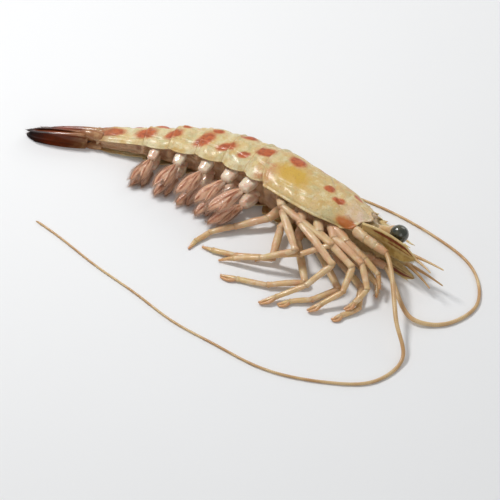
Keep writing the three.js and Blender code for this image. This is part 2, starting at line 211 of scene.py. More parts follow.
def uneven(points, size, seed):
    """A smooth random field between about -1 and 1: nine sine waves in seeded directions, `size` mm or so long."""
    rng = np.random.default_rng(seed)
    ways = unit(rng.normal(size=(9, 3))) * (2 * math.pi / (size * rng.uniform(0.7, 1.5, (9, 1))))
    return np.sin(points @ ways.T + rng.uniform(0, 2 * math.pi, 9)).sum(axis=-1) / 3


def settle(points):
    """Presses the soft body onto the surface: a height z becomes half of z plus the root of z squared and 0.2."""
    z = points[..., 2]
    return np.concatenate([points[..., :2], (0.5 * (z + np.sqrt(z * z + 0.2)))[..., None]], axis=-1)


def lift(spine, radius):
    """Raises the low stretches of a spine, so that a rod of that radius round it lies on the surface."""
    over = spine[:, 2] - radius
    return np.concatenate([spine[:, :2], (radius + 0.5 * (over + np.sqrt(over * over + 0.02)))[:, None]], axis=1)


def raise_relief(points, height):
    """Moves the points of a body grid, whose rows run towards the snout, out along their normals by a height."""
    normal = unit(np.cross(np.gradient(points, axis=1), np.gradient(points, axis=0)))
    return points + normal * height[..., None]


# ---------------------------------------------------------------- making meshes

def place(name, data):
    """Puts a new object into the scene."""
    made = bpy.data.objects.new(name, data)
    bpy.context.scene.collection.objects.link(made)
    return made


class Skin:
    """Collects surfaces and their fields, then makes one object of them."""

    def __init__(self, *fields):
        self.fields = {name: [] for name in fields}
        self.points, self.faces, self.count = [], [], 0

    def add(self, points, faces, **fields):
        """Adds points (n, 3) and faces (m, 3 or 4) that index them. A field is a number for each point, or one."""
        self.points.append(points)
        self.faces.extend((faces + self.count).tolist())
        for name, parts in self.fields.items():
            parts.append(np.broadcast_to(fields.get(name, 0.0), (len(points),)))
        self.count += len(points)

    def grid(self, points, closed=False, **fields):
        """Adds a surface over points (rows, columns, 3). A closed one joins its last column to its first, and its
        first and last rows are filled with fans."""
        rows, columns = points.shape[:2]
        j = np.arange(columns if closed else columns - 1)
        k = (j + 1) % columns
        i = np.arange(rows - 1)[:, None] * columns
        faces = np.stack([i + j, i + k, i + columns + k, i + columns + j], axis=-1).reshape(-1, 4)
        flat = {name: np.broadcast_to(value, (rows, columns)).reshape(-1) for name, value in fields.items()}
        base = self.count
        self.add(points.reshape(-1, 3), faces, **flat)
        if not closed:
            return
        for row, turned in ((0, True), (rows - 1, False)):
            middle = self.count
            values = {name: value[row * columns:(row + 1) * columns].mean() for name, value in flat.items()}
            self.add(points[row].mean(axis=0)[None], np.empty((0, 3), int), **values)
            a, b = base + row * columns + j, base + row * columns + k
            if turned:
                a, b = b, a
            self.faces.extend(np.stack([a, b, np.full_like(a, middle)], axis=1).tolist())

    def make(self, name, material, slot, wall=0.0):
        """The object, which rides with the prawn and stands for its solid. A wall of that many mm grows inwards."""
        mesh = bpy.data.meshes.new(name)
        mesh.from_pydata((np.concatenate(self.points) * MM).tolist(), [], self.faces)
        for field, parts in self.fields.items():
            mesh.attributes.new(field, "FLOAT", "POINT").data.foreach_set("value", np.concatenate(parts))
        mesh.materials.append(material)
        mesh.polygons.foreach_set("use_smooth", np.ones(len(mesh.polygons), bool))
        mesh.update()
        piece = place(name, mesh)
        if wall:
            solidify = piece.modifiers.new("wall", "SOLIDIFY")
            solidify.thickness = wall * MM
            solidify.offset = -1
        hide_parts(NODE)
        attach(piece, "root")
        return piece


def tube(spine, wide, thick, sides, reference):
    """Oval sections carried along a spine (n, 3): half width `wide` square to the reference direction, and half
    thickness `thick` nearest to it. Returns points (n, sides, 3)."""
    along = unit(np.gradient(spine, axis=0))
    across = unit(np.cross(along, reference))
    rise = np.cross(across, along)
    angle = -turns(sides)
    wide, thick = (np.broadcast_to(v, (len(spine),))[:, None, None] for v in (wide, thick))
    return (spine[:, None] + across[:, None] * np.cos(angle)[None, :, None] * wide
            + rise[:, None] * np.sin(angle)[None, :, None] * thick)


def spline(points, count):
    """A smooth curve of evenly spread points through a few given ones, by cubic steps over their chord lengths."""
    points = np.asarray(points, float)
    chord = reach_along(points, 0.5)
    fine = np.linspace(0, chord[-1], count * 8)
    curve = np.stack([through(*zip(chord, axis))(fine) for axis in points.T], axis=1)
    reach = reach_along(curve)
    return resample(curve, reach, np.linspace(0, reach[-1], count))


def spikes(skin, roots, tips, width, **fields):
    """Adds one closed, three-sided bristle from each root to its tip."""
    along = unit(tips - roots)
    first = unit(np.cross(along, np.array([0.3, 0.2, 0.93])))
    second = np.cross(along, first)
    feet = [roots + (first * math.cos(a) + second * math.sin(a)) * width for a in turns(3)]
    points = np.stack([*feet, tips], axis=1).reshape(-1, 3)
    start = np.arange(len(roots))[:, None] * 4
    faces = np.concatenate([start + np.array(f) for f in ((0, 1, 3), (1, 2, 3), (2, 0, 3), (2, 1, 0))])
    skin.add(points, faces, **fields)


def rod(skin, start, end, sizes, reference, rows=24, sides=16, bow=0.0, fields=None):
    """Adds one joint of a limb: an oval rod that is narrow where it leaves the joint before it, fills out, draws in
    a little and ends in a rounded rim. sizes holds the half width and half thickness at its start and at its end.
    fields maps names to numbers, or to functions of the share along the rod."""
    t = 0.5 - 0.5 * np.cos(np.linspace(0, math.pi, rows))
    way = end - start
    length = np.linalg.norm(way)
    (wide0, thick0), (wide1, thick1) = sizes
    spine = start + way * t[:, None] + unit(reference) * (bow * length * np.sin(math.pi * t))[:, None]
    cap = np.minimum(t * length / wide0, (1 - t) * length / wide1) / 0.6
    round_off = np.sqrt(1 - (1 - np.clip(cap, 0.03, 1)) ** 2)
    swell = (0.86 + 0.14 * smooth(0, 0.3, t) - 0.07 * bell(t - 0.86, 0.05) + 0.13 * bell(t - 0.95, 0.045)) * round_off
    wide = (wide0 + (wide1 - wide0) * t) * swell
    thick = (thick0 + (thick1 - thick0) * t) * swell
    spine = lift(spine, thick)
    points = tube(spine, wide, thick, sides, reference)
    dents = 0.05 * uneven(points, 3, 9) + 0.03 * uneven(points, 1, 10) + 0.04 * np.cos(2 * turns(sides) + 0.7) - 0.02
    points = spine[:, None] + (points - spine[:, None]) * (1 + dents[..., None])
    values = {name: value(t)[:, None] if callable(value) else value for name, value in (fields or {}).items()}
    skin.grid(settle(points), closed=True, **values)


def spread(row, count):
    """A margin's points (n, 3) drawn out evenly to `count` points, from its first almost to its last."""
    return resample(row, np.arange(len(row)), np.linspace(0, len(row) - 1.001, count))


def blade(base, tip, width, thickness, normal, outline, relief, rows, sides, bow, cup):
    """A thin closed blade from base to tip. outline gives the half width's share by the share t along it, and relief
    a height in mm by t and by v, which runs from -1 to 1 over the width. cup bends its margins away from the normal,
    and bow its middle towards it. Returns the points (rows, sides, 3), t (rows, 1) and v (1, sides)."""
    t = np.linspace(0, 1, rows)[:, None]
    angle = -turns(sides)[None]
    v = np.cos(angle)
    along = unit(tip - base)
    across = unit(np.cross(along, normal))
    rise = np.cross(across, along)
    half = width / 2 * outline(t)
    lens = thickness / 2 * (1 - 0.55 * t) * np.sin(angle) * np.minimum(1, half / width * 5)
    lens = lens + np.where(np.sin(angle) >= 0, 1, -0.6) * relief(t, v) * np.abs(np.sin(angle)) ** 0.4
    lens = lens + bow * np.sin(math.pi * t) - cup * v**2 * half / width * 2
    points = base + (tip - base) * t[..., None] + across * (v * half)[..., None] + rise * lens[..., None]
    return points, t, v


def leaf_outline(point, root, blunt):
    """Half width's share along a leaf: a sine raised to `point`, at least `root` at the base, rounded at the tip."""
    def outline(t):
        swollen = np.sin(math.pi * (0.12 + 0.8 * t)) ** point
        return np.maximum(root * (1 - t), swollen) * round_end(1 - t, blunt, 0.0004)
    return outline


FLOOR_GAP = 0.15  # height above the floor that a fringe keeps to


def fringe(skin, edge, outward, reach, width, seed, lean, **fields):
    """Adds bristles along an edge (n, 3): each leans from the outward direction towards the edge's far end. None
    reaches below FLOOR_GAP."""
    rng = np.random.default_rng(seed)
    along = unit(np.gradient(edge, axis=0))
    way = unit(outward + along * lean + rng.normal(0, 0.12, edge.shape))
    length = reach * rng.uniform(0.7, 1.1, len(edge))[:, None]
    tips = edge + way * length
    roots = edge - way * 0.2
    for ends in (tips, roots):
        ends[:, 2] = np.maximum(ends[:, 2], FLOOR_GAP)
    spikes(skin, roots, tips, width, **fields)


# ---------------------------------------------------------------- finishes

def linear(red, green, blue):
    """The linear colour of an 8-bit one."""
    share = np.array([red, green, blue]) / 255
    return tuple(np.where(share <= 0.04045, share / 12.92, ((share + 0.055) / 1.055) ** 2.4).tolist())


class Value:
    """A shader socket that Python's operators work on. Each operator adds one Math node."""

    def __init__(self, finish, socket):
        self.finish, self.socket = finish, socket

    def math(self, operation, *values):
        """A Math node's result on numbers or values."""
        return self.finish.node("ShaderNodeMath", {"operation": operation}, dict(enumerate(values)))

    def __add__(self, other):
        return self.math("ADD", self, other)

    def __sub__(self, other):
        return self.math("SUBTRACT", self, other)

    def __rsub__(self, other):
        return self.math("SUBTRACT", other, self)

    def __mul__(self, other):
        return self.math("MULTIPLY", self, other)

    __radd__, __rmul__ = __add__, __mul__

    def between(self, low, high):
        """0 below low, 1 above high, and a smooth step between them."""
        return self.finish.node("ShaderNodeMapRange", {"interpolation_type": "SMOOTHSTEP"}, {0: self, 1: low, 2: high})


class Finish:
    """A material in the making. One method adds any node, and a few more name the common ones."""

    def __init__(self, name, **constants):
        self.material = bpy.data.materials.new(name)
        self.material.use_nodes = True
        self.tree = self.material.node_tree
        self.tree.nodes.clear()
        self.shader = self.tree.nodes.new("ShaderNodeBsdfPrincipled")
        surface = self.tree.nodes.new("ShaderNodeOutputMaterial")
        self.tree.links.new(self.shader.outputs[0], surface.inputs["Surface"])
        self.place = self.node("ShaderNodeTexCoord", output="Object")
        self.feed(constants)

    def feed(self, values, node=None):
        """Sets or links inputs of a node, or of the shader, by name or number."""
        for key, value in values.items():
            socket = (node or self.shader).inputs[key.replace("_", " ") if isinstance(key, str) else key]
            if isinstance(value, Value):
                self.tree.links.new(value.socket, socket)
            elif socket.type == "RGBA":
                socket.default_value = (*value[:3], 1)
            else:
                socket.default_value = value

    def node(self, kind, settings=None, inputs=None, output=0):
        """Adds a node: first its settings, then its inputs by name or number, each a number or a Value to link."""
        made = self.tree.nodes.new(kind)
        for key, value in (settings or {}).items():
            setattr(made, key, value)
        self.feed(inputs or {}, made)
        return Value(self, made.outputs[output])

    def field(self, name):
        """A surface's own numbers by place, which Skin collects under that name."""
        return self.node("ShaderNodeAttribute", {"attribute_name": name}, output="Fac")

    def noise(self, size, detail, shift=0.0, stretch=(1, 1, 1)):
        """Noise about 0.5 whose patches are some `size` mm across, with finer ones in them by its detail."""
        moved = self.node("ShaderNodeMapping", {}, {"Vector": self.place, "Location": (shift, shift, shift),
                                                    "Scale": stretch})
        return self.node("ShaderNodeTexNoise", {}, {"Vector": moved, "Scale": 1 / (size * MM), "Detail": detail})

    def cells(self, size, feature="F1"):
        """Distance from the nearest of points that lie some `size` mm apart, or from the line between two of them."""
        return self.node("ShaderNodeTexVoronoi", {"feature": feature},
                         {"Vector": self.place, "Scale": 1 / (size * MM)}, output="Distance")

    def paint(self, colour, *layers):
        """Lays colours over a first one: pairs of the share that a layer covers, between 0 and 1, and its colour."""
        for share, over in layers:
            colour = self.node("ShaderNodeMix", {"data_type": "RGBA"}, {0: share, 6: colour, 7: over}, output=2)
        return colour

    def bump(self, *layers):
        """Relief from pairs of a height between 0 and 1 and its depth in mm."""
        height = sum(value * (depth / layers[0][1]) for value, depth in layers)
        return self.node("ShaderNodeBump", {}, {"Height": height, "Distance": layers[0][1] * MM, "Strength": 1.0})

    def finished(self, colour, roughness, *relief, **more):
        """The material, once its colour, its roughness, its layers of relief and any more inputs are fed."""
        self.feed({"Base Color": colour, "Roughness": roughness, "Normal": self.bump(*relief), **more})
        return self.material


def made_once(name, make, look):
    """The material of that name, made by `make` where there is none yet."""
    return bpy.data.materials.get(name) or make(look)


def limb_and_feeler(look):
    """The two materials that the head and the long feelers share."""
    return made_once("prawn_limb", limb_finish, look.limbs), made_once("prawn_feeler", feeler_finish, look.feelers)


def wet(coat, coat_roughness, depth=0.2, reach=1.2):
    """Constants of moist, slightly translucent tissue, which light enters to a depth of `reach` mm."""
    return dict(Coat_Weight=coat, Coat_Roughness=coat_roughness, Subsurface_Weight=depth,
                Subsurface_Radius=(1.0, 0.55, 0.3), Subsurface_Scale=reach * MM, IOR=1.45)


def shell_finish(look):
    """Cream shell, clouded with pale, warm, greenish and, towards the back, pinkish patches. Over it lie freckles,
    red-brown spots with grainy edges, a yellow and an orange patch, a painted highlight in pale pink on the front of
    the carapace, a netted margin and the browner tail end."""
    made = Finish("prawn_shell", **wet(0.2, 0.2))
    broad, middling, small = made.noise(9, 3), made.noise(2.6, 4), made.noise(0.5, 2)
    flush = 0.15 + made.field("dorsal") * 0.5
    grain = (middling - 0.5) * 0.9
    net = 1 - made.cells(0.95, "DISTANCE_TO_EDGE").between(0.0, 0.22)
    edge = made.field("spot") + (middling - 0.5) * 0.35 + (small - 0.5) * 0.3
    spot = made.paint(look.spot, (made.noise(1.6, 5, 5.0).between(0.4, 0.66), look.dark_spot))
    colour = made.paint(
        look.cream,
        (broad.between(0.38, 0.62), look.pale),
        (made.field("shield") * (0.35 + broad * 0.7), look.shield),
        (made.noise(4, 5, 3.1).between(0.46, 0.64) * (0.3 + made.field("band") * 0.6), look.warm),
        (made.noise(5, 5, 7.7).between(0.48, 0.66) * 0.65, look.grey),
        (made.noise(2.6, 4, 9.1).between(0.5, 0.66) * 0.7, look.pale),
        (made.noise(3.5, 4, 1.3).between(0.5, 0.66) * flush, look.blush),
        # Painted highlight: a pale pink patch on the front of the carapace that stands for light falling on the shell
        # there.
        (made.field("pink_highlight") * (middling * 1.6 - 0.2).between(0, 1) * 0.8, look.pink_highlight),
        ((made.field("yellow") + grain).between(0.1, 0.95), look.yellow),
        (small.between(0.55, 0.68) * (0.15 + middling * 0.35), look.freckle),
        (made.field("net") * (0.3 + net * 0.6) * middling.between(0.3, 0.6), look.net),
        ((made.field("orange") + grain).between(0.2, 0.85), look.orange),
        (edge.between(-0.3, 0.1) * 0.45, look.blush),
        (edge.between(-0.16, 0.36) * 0.95, spot),
        (made.field("tail") * (0.5 + middling * 0.6), look.tail),
        (made.field("rim") * 0.4, look.freckle))
    return made.finished(colour, 0.36 + small * 0.3, (middling, 0.3), (small, 0.09), (made.cells(0.4), 0.05),
                         Coat_Weight=middling * 0.45)


def flesh_finish(look):
    """Pale flesh of the belly with brown streaks, and painted shade in brown between and beside its ridges and towards
    its edges.
    """
    made = Finish("prawn_flesh", **wet(0.5, 0.1, 0.3, 2.0))
    middling = made.noise(3, 4)
    colour = made.paint(
        look.flesh,
        (made.noise(5, 3).between(0.44, 0.7) * 0.8, look.brown_streaks_and_shade),
        # Painted shade on the belly: brown in the creases between and beside its ridges and towards its edges. On the
        # snout the same field gives brown bands.
        (made.field("fold") * (0.25 + middling * 0.6), look.brown_streaks_and_shade),
        (made.field("head") * (0.5 + middling * 0.5), look.olive))
    return made.finished(colour, 0.28 + middling * 0.25, (middling, 0.35), (made.noise(0.6, 3), 0.12))


def limb_finish(look):
    """Limbs: cream with pinkish clouds, sandier outwards and rusty at the tips, with darker joints and fine dots."""
    made = Finish("prawn_limb", **wet(0.3, 0.14, 0.3, 1.2))
    broad, middling, small = made.noise(7, 3), made.noise(1.8, 4), made.noise(0.3, 2)
    colour = made.paint(
        look.cream,
        (broad.between(0.4, 0.6), look.rose),
        (made.field("far").between(0.2, 0.8) * (0.3 + middling * 0.6), look.sand),
        (made.noise(4, 4, 2.0).between(0.5, 0.7) * 0.45, look.blush),
        (made.noise(3, 3, 6.0).between(0.52, 0.68) * 0.5, look.milky),
        ((made.field("far") + (middling - 0.5) * 0.2).between(0.86, 1.0) * 0.6, look.blush),
        (made.field("joint") * (0.1 + middling * 0.7), look.joint),
        (small.between(0.58, 0.7) * middling * 0.4, look.joint))
    return made.finished(colour, 0.3 + small * 0.25, (middling, 0.12), (small, 0.05), Coat_Weight=0.1 + middling * 0.4)


def swimmeret_finish(look):
    """Swimmerets: glossy, nearly white paddles with pinkish clouds, and blades with brown veins and a pale margin. down
    is the share from the paddle's root to the blades' tips."""
    made = Finish("prawn_swimmeret", **wet(0.45, 0.1, 0.35, 1.2))
    middling, small = made.noise(1.6, 4), made.noise(0.35, 2)
    share = (made.field("down") + (middling - 0.5) * 0.2).between(0.34, 0.5)
    leaf = made.paint(
        look.blade,
        ((made.field("vein") + (middling - 0.5) * 0.6).between(0.0, 1.1), look.blade_brown),
        (made.field("margin") * (0.4 + small * 0.5), look.paddle_rosy))
    colour = made.paint(
        look.paddle,
        (made.noise(3, 3, 4.0).between(0.42, 0.62) * 0.8, look.paddle_rosy),
        (made.field("vein") * (0.5 + middling), look.blade),
        (share, leaf),
        ((made.field("down") - 0.8) * 2 * middling, look.blade_brown))
    return made.finished(colour, 0.2 + small * 0.2 + share * 0.1, (middling, 0.1), (small, 0.04),
                         Coat_Weight=0.6 - share * 0.25)


def head_blade_finish(look):
    """The blades beside the snout: olive tan, with red-brown stripes beside a pale outer rib."""
    made = Finish("prawn_head_blade", **wet(0.4, 0.12, 0.2, 0.8))
    middling, small = made.noise(2.2, 4), made.noise(0.4, 2)
    stripe = made.paint(look.stripe, (small.between(0.4, 0.65), look.stripe_dark))
    colour = made.paint(
        look.blade,
        (middling.between(0.35, 0.65), look.blade_dark),
        (made.field("pale") * (0.7 + small * 0.4), look.blade_pale),
        ((made.field("stripe") + (middling - 0.5) * 0.5).between(0.25, 0.75) * 0.95, stripe))
    return made.finished(colour, 0.34 + small * 0.18, (middling, 0.08))


def eye_finish(look):
    """The wet, dark green eye, whose clear skin is set with tiny facets."""
    made = Finish("prawn_eye", **wet(1.0, 0.04, 0.0, 0.5))
    cloud = made.noise(2.4, 3)
    colour = made.paint(look.eye, (cloud.between(0.35, 0.7), look.eye_sheen),
                        (made.field("collar") * (0.6 + cloud * 0.5), look.eye_collar))
    return made.finished(colour, 0.22 + cloud * 0.12, (made.cells(0.16), 0.012))


def tail_finish(look):
    """The tail fan: mottled tan at its base, red-brown over its middle and nearly black at the tips, with streaks
    along it, paler ribs and darker margins."""
    made = Finish("prawn_tail_fan", **wet(0.35, 0.14, 0.1, 0.6))
    middling, small = made.noise(2.2, 4, 0.0, (0.35, 1.3, 1.3)), made.noise(0.5, 2)
    clouds = made.noise(2, 4, 5.0)
    along = made.field("along") + (middling - 0.5) * 0.22
    colour = made.paint(
        look.base,
        (clouds.between(0.42, 0.64) * 0.7, look.cream),
        (along.between(0.14, 0.44), look.middle),
        (along.between(0.35, 0.7) * clouds.between(0.35, 0.6) * 0.8, look.bright),
        (made.field("rib") * (1 - along) * 0.6, look.base),
        (small.between(0.55, 0.7) * 0.3, look.middle),
        ((along + made.field("margin") * 0.25).between(0.66, 0.98), look.tip))
    return made.finished(colour, 0.28 + small * 0.25, (middling, 0.14), (small, 0.05), Coat_Weight=0.15 + clouds * 0.4)


def feeler_finish(look):
    """Feelers: straw-coloured and ringed, a little darker in the grooves between the rings."""
    made = Finish("prawn_feeler", **wet(0.3, 0.15, 0.1, 0.4))
    cloud = made.noise(9, 3)
    colour = made.paint(look.straw, (cloud.between(0.35, 0.65), look.rust), (made.field("groove") * 0.45, look.rust))
    return made.finished(colour, 0.38 + cloud * 0.1, (made.noise(0.3, 2), 0.03))


# ---------------------------------------------------------------- sizes and colours that a user may change

def colour(name, description, *rgb):
    """A colour property, whose default is given in 8-bit numbers."""
    return bpy.props.FloatVectorProperty(name=name, description=description, subtype="COLOR", size=3, min=0, max=1,
                                         default=linear(*rgb))


def length(name, description, millimetres):
    """A length property."""
    return bpy.props.FloatProperty(name=name, description=description, unit="LENGTH", subtype="DISTANCE",
                                   min=0, default=millimetres * MM, precision=5)


class ShellLook(bpy.types.PropertyGroup):
    """Sizes and colours of the carapace and of the abdomen's plates."""
    wall: length("Wall", "Thickness of the shell's plates", 0.35)
    dents: length("Unevenness", "Height of the shell's soft dents and swellings", 0.3)
    cream: colour("Cream", "Main colour of the shell", 214, 188, 130)
    pale: colour("Pale", "Paler clouds in the shell", 222, 208, 166)
    warm: colour("Warm", "Warmer clouds in the shell", 202, 164, 92)
    grey: colour("Grey", "Cool, glassy clouds in the shell", 190, 182, 138)
    # A painted highlight: the pale pink of the patch on the front of the carapace.
    pink_highlight: colour("Rosy", "Blush at the front of the head", 226, 196, 180)
    yellow: colour("Yellow", "Patch on the side of the carapace", 206, 164, 62)
    orange: colour("Orange", "Patch at the carapace's lower front corner", 178, 98, 30)
    freckle: colour("Freckles", "Fine dots and the lines where plates meet", 158, 112, 68)
    spot: colour("Spots", "Main colour of the big spots", 190, 90, 38)
    dark_spot: colour("Dark spots", "Darker grain in the big spots", 160, 66, 24)
    blush: colour("Blush", "Round the spots and in clouds towards the back", 206, 148, 96)
    net: colour("Net", "Netted rear margin of the carapace", 196, 126, 84)
    shield: colour("Carapace", "Warmer tone of the carapace", 206, 172, 106)
    tail: colour("Tail end", "The last plate's colour towards the tail fan", 150, 104, 68)


class FleshLook(bpy.types.PropertyGroup):
    """Colours of the belly and of the front of the head."""
    flesh: colour("Flesh", "Pale flesh of the belly", 208, 170, 130)
    # The brown of the belly's streaks, and of the painted shade in its creases.
    brown_streaks_and_shade: colour("Brown flesh", "Folds and streaks of the belly", 146, 94, 58)
    olive: colour("Olive", "Front of the head under the eyes", 156, 132, 82)


class LimbLook(bpy.types.PropertyGroup):
    """Sizes and colours of legs, mouthparts and stems."""
    bristles: length("Bristles", "Length of the bristles on the limbs", 1.1)
    cream: colour("Cream", "Main colour of the limbs", 214, 184, 138)
    rose: colour("Rose", "Rosier stretches of the limbs", 212, 168, 130)
    sand: colour("Sand", "The limbs' outer ends", 212, 182, 120)
    milky: colour("Milky", "Pale clouds on the limbs", 228, 208, 178)
    blush: colour("Blush", "Rusty clouds and tips of the limbs", 202, 138, 92)
    joint: colour("Joints", "Rings at the joints and fine dots", 170, 112, 70)


class SwimmeretLook(bpy.types.PropertyGroup):
    """Sizes and colours of the swimmerets."""
    bristles: length("Bristles", "Length of the fringe round the blades", 2.4)
    paddle: colour("Paddles", "The glossy, stout upper parts", 230, 211, 184)
    paddle_rosy: colour("Rosy paddles", "Clouds on the upper parts", 218, 174, 148)
    blade: colour("Blades", "The soft lower parts", 218, 170, 138)
    blade_brown: colour("Brown blades", "The lower parts' darker clouds and tips", 154, 88, 54)


class HeadLook(bpy.types.PropertyGroup):
    """Sizes and colours of the eyes and of the blades beside the snout."""
    bristles: length("Bristles", "Length of the fringe round the blades", 1.6)
    eye: colour("Eye", "Main colour of the eye", 36, 40, 28)
    eye_sheen: colour("Eye clouds", "Lighter clouds in the eye", 78, 74, 50)
    eye_collar: colour("Eye collar", "Ring where the eye joins its stalk", 128, 112, 82)
    blade: colour("Blades", "Main colour of the blades", 194, 164, 98)
    blade_dark: colour("Dark blades", "Darker clouds on the blades", 160, 126, 64)
    blade_pale: colour("Pale blades", "The blades' rib and base", 216, 190, 134)
    stripe: colour("Stripe", "Stripe along the blades' outer margin", 134, 48, 16)
    stripe_dark: colour("Dark stripe", "Darker grain in the stripe", 98, 30, 10)


class TailLook(bpy.types.PropertyGroup):
    """Sizes and colours of the tail fan."""
    bristles: length("Bristles", "Length of the fringe round the blades", 1.3)
    base: colour("Base", "The fan's root and ribs", 158, 108, 68)
    cream: colour("Cream", "Pale clouds at the fan's root", 196, 156, 110)
    middle: colour("Middle", "The fan's red-brown middle", 122, 58, 28)
    bright: colour("Bright", "Brighter streaks in the middle", 146, 60, 26)
    tip: colour("Tip", "The fan's dark tips", 42, 27, 25)


class FeelerLook(bpy.types.PropertyGroup):
    """Sizes and colours of the long feelers."""
    ring: length("Ring", "Length of one ring of a feeler", 0.8)
    straw: colour("Straw", "Main colour of the feelers", 218, 190, 142)
    rust: colour("Rust", "Darker stretches and grooves", 192, 148, 98)


class StageLook(bpy.types.PropertyGroup):
    """The floor, the lights and the camera."""
    floor: colour("Floor", "The plain floor", 236, 236, 236)
    key: bpy.props.FloatProperty(name="Key light", description="Power of the main light in watts", default=2.5, min=0)
    fill: bpy.props.FloatProperty(name="Fill light", description="Power of the fill light in watts", default=0.8, min=0)
    sky: bpy.props.FloatProperty(name="Sky", description="Strength of the even light all round", default=0.4, min=0)
    distance: bpy.props.FloatProperty(name="Distance", description="From the camera to the prawn", unit="LENGTH",
                                      default=1.22, min=0.3)
    lens: bpy.props.FloatProperty(name="Lens", description="Focal length", subtype="DISTANCE_CAMERA", default=224,
                                  min=20)


class PrawnLook(bpy.types.PropertyGroup):
    """All that a user may change."""
    shell: bpy.props.PointerProperty(type=ShellLook)
    flesh: bpy.props.PointerProperty(type=FleshLook)
    limbs: bpy.props.PointerProperty(type=LimbLook)
    swimmerets: bpy.props.PointerProperty(type=SwimmeretLook)
    head: bpy.props.PointerProperty(type=HeadLook)
    tail: bpy.props.PointerProperty(type=TailLook)
    feelers: bpy.props.PointerProperty(type=FeelerLook)
    stage: bpy.props.PointerProperty(type=StageLook)


# ---------------------------------------------------------------- where the colours lie on the shell

# Station and girth of each spot on the right flank, half its length and half its width in mm, and how far its long
# axis turns from the body's axis towards the back, in degrees.
SPOTS = (
    (-73.4, 0.51, 5.6, 2.8, 8), (-70.5, 0.13, 3.2, 2.0, 0), (-76.5, 0.24, 2.2, 1.4, 20),
    (-59.2, 0.52, 4.9, 4.1, 25), (-64.2, 0.22, 2.3, 1.8, 0),
    (-47.5, 0.52, 4.4, 2.9, 42), (-53.3, 0.27, 2.8, 2.0, 10),
    (-33.6, 0.59, 6.6, 3.4, 68), (-37.3, 0.17, 2.9, 2.1, 10), (-43.6, 0.32, 1.8, 1.3, 0),
    (-23.1, 0.61, 5.2, 3.0, 48), (-30.3, 0.35, 2.4, 1.8, 15), (-27, 0.08, 2.9, 2.0, 0),
    (-14, 0.65, 3.3, 2.2, 55), (-17.8, 0.31, 3.2, 2.2, 20), (-12.5, 0.12, 2.7, 1.8, 0),
    (-6.8, 0.46, 4.5, 2.8, 30), (-5.6, 0.18, 2.4, 2.0, 0),
    (6.6, 0.37, 4.1, 3.0, -10), (15.5, 0.16, 3.2, 2.2, 0), (25.9, 0.46, 2.4, 1.8, 10), (32.1, 0.53, 2.9, 1.7, 20),
    (35.5, 0.24, 2.3, 1.7, 0),
)


def shell_fields(station, girth):
    """The shell's fields by place: each spot's is 1 minus the distance from its middle in its own half lengths.
    On the left flank the spots are shifted, turned and scaled a little."""
    jitter = np.random.default_rng(11).uniform(-1, 1, (len(SPOTS), 4))
    around = ABDOMEN_FLANK * back_height(station)
    spot = np.full(np.broadcast(station, girth).shape, -1.0)
    for (s, q, half_long, half_wide, turned), (moved, lowered, grown, swung) in zip(SPOTS, jitter):
        for side in (1, -1):
            left = side < 0
            turn = math.radians(turned + 25 * swung * left)
            grow = 1 + 0.2 * grown * left
            along = station - (s + 1.6 * moved * left)
            down = (girth - side * (q + 0.05 * lowered * left)) * side * around
            x = along * math.cos(turn) - down * math.sin(turn)
            y = along * math.sin(turn) + down * math.cos(turn)
            far = ((np.abs(x) / (half_long * grow)) ** 2.3 + (np.abs(y) / (half_wide * grow)) ** 2.3) ** (1 / 2.3)
            spot = np.maximum(spot, 1 - far)
    share = np.abs(girth)
    low = share * CARAPACE_FLANK
    return {
        "spot": spot,
        "yellow": 1.15 * np.exp(-(((station - 10) / 9) ** 2 + ((low - 21) / 6.5) ** 2)),
        "orange": 1.3 * np.exp(-(((station - 40.5) / 4.6) ** 2 + ((low - 28.5) / 4.6) ** 2)),
        # A painted highlight in pale pink on the front of the carapace, some 19 mm down from the middle of the back.
        "pink_highlight": smooth(31, 41, station) * bell(low - 19, 6),
        "net": smooth(7, 1, station) * smooth(-7, -2, station) * smooth(0.5, 0.62, share) * smooth(1.02, 0.9, share),
        "tail": smooth(-68, -82, station),
        "shield": smooth(-5, 3, station),
        "dorsal": smooth(0.55, 0.1, share),
        "band": smooth(0.3, 0.6, share) * (0.6 + 0.4 * np.sin(station * 0.53)),
    }


# Each of these fields shows one colour of the shell, the fourth a painted highlight in pale pink, and the last one the
# lines of its rims and grooves.
SHELL_FIELDS = ("spot", "yellow", "orange", "pink_highlight", "net", "tail", "shield", "dorsal", "band", "rim")


# ---------------------------------------------------------------- carapace and abdomen

# Lines on the carapace from one (station, mm from the middle of the back) to another, with depth or height and width.
GROOVES = (((21, 8), (33, 19), 0.55, 0.9), ((33, 20), (42, 25), 0.5, 0.9), ((33, 11), (44, 13.5), 0.4, 0.8),
           ((3, 17), (21, 13), 0.25, 1.2), ((8, 27), (30, 25), 0.2, 1.0))
RIDGES = (((31, 18.6), (35, 18), 0.45, 0.7), ((37, 16.4), (47, 15.6), 0.5, 0.8))
# Height of the keel along the back of each of the abdomen's plates.
KEELS = (0, 0, 0.3, 0.7, 0.8, 0.9)


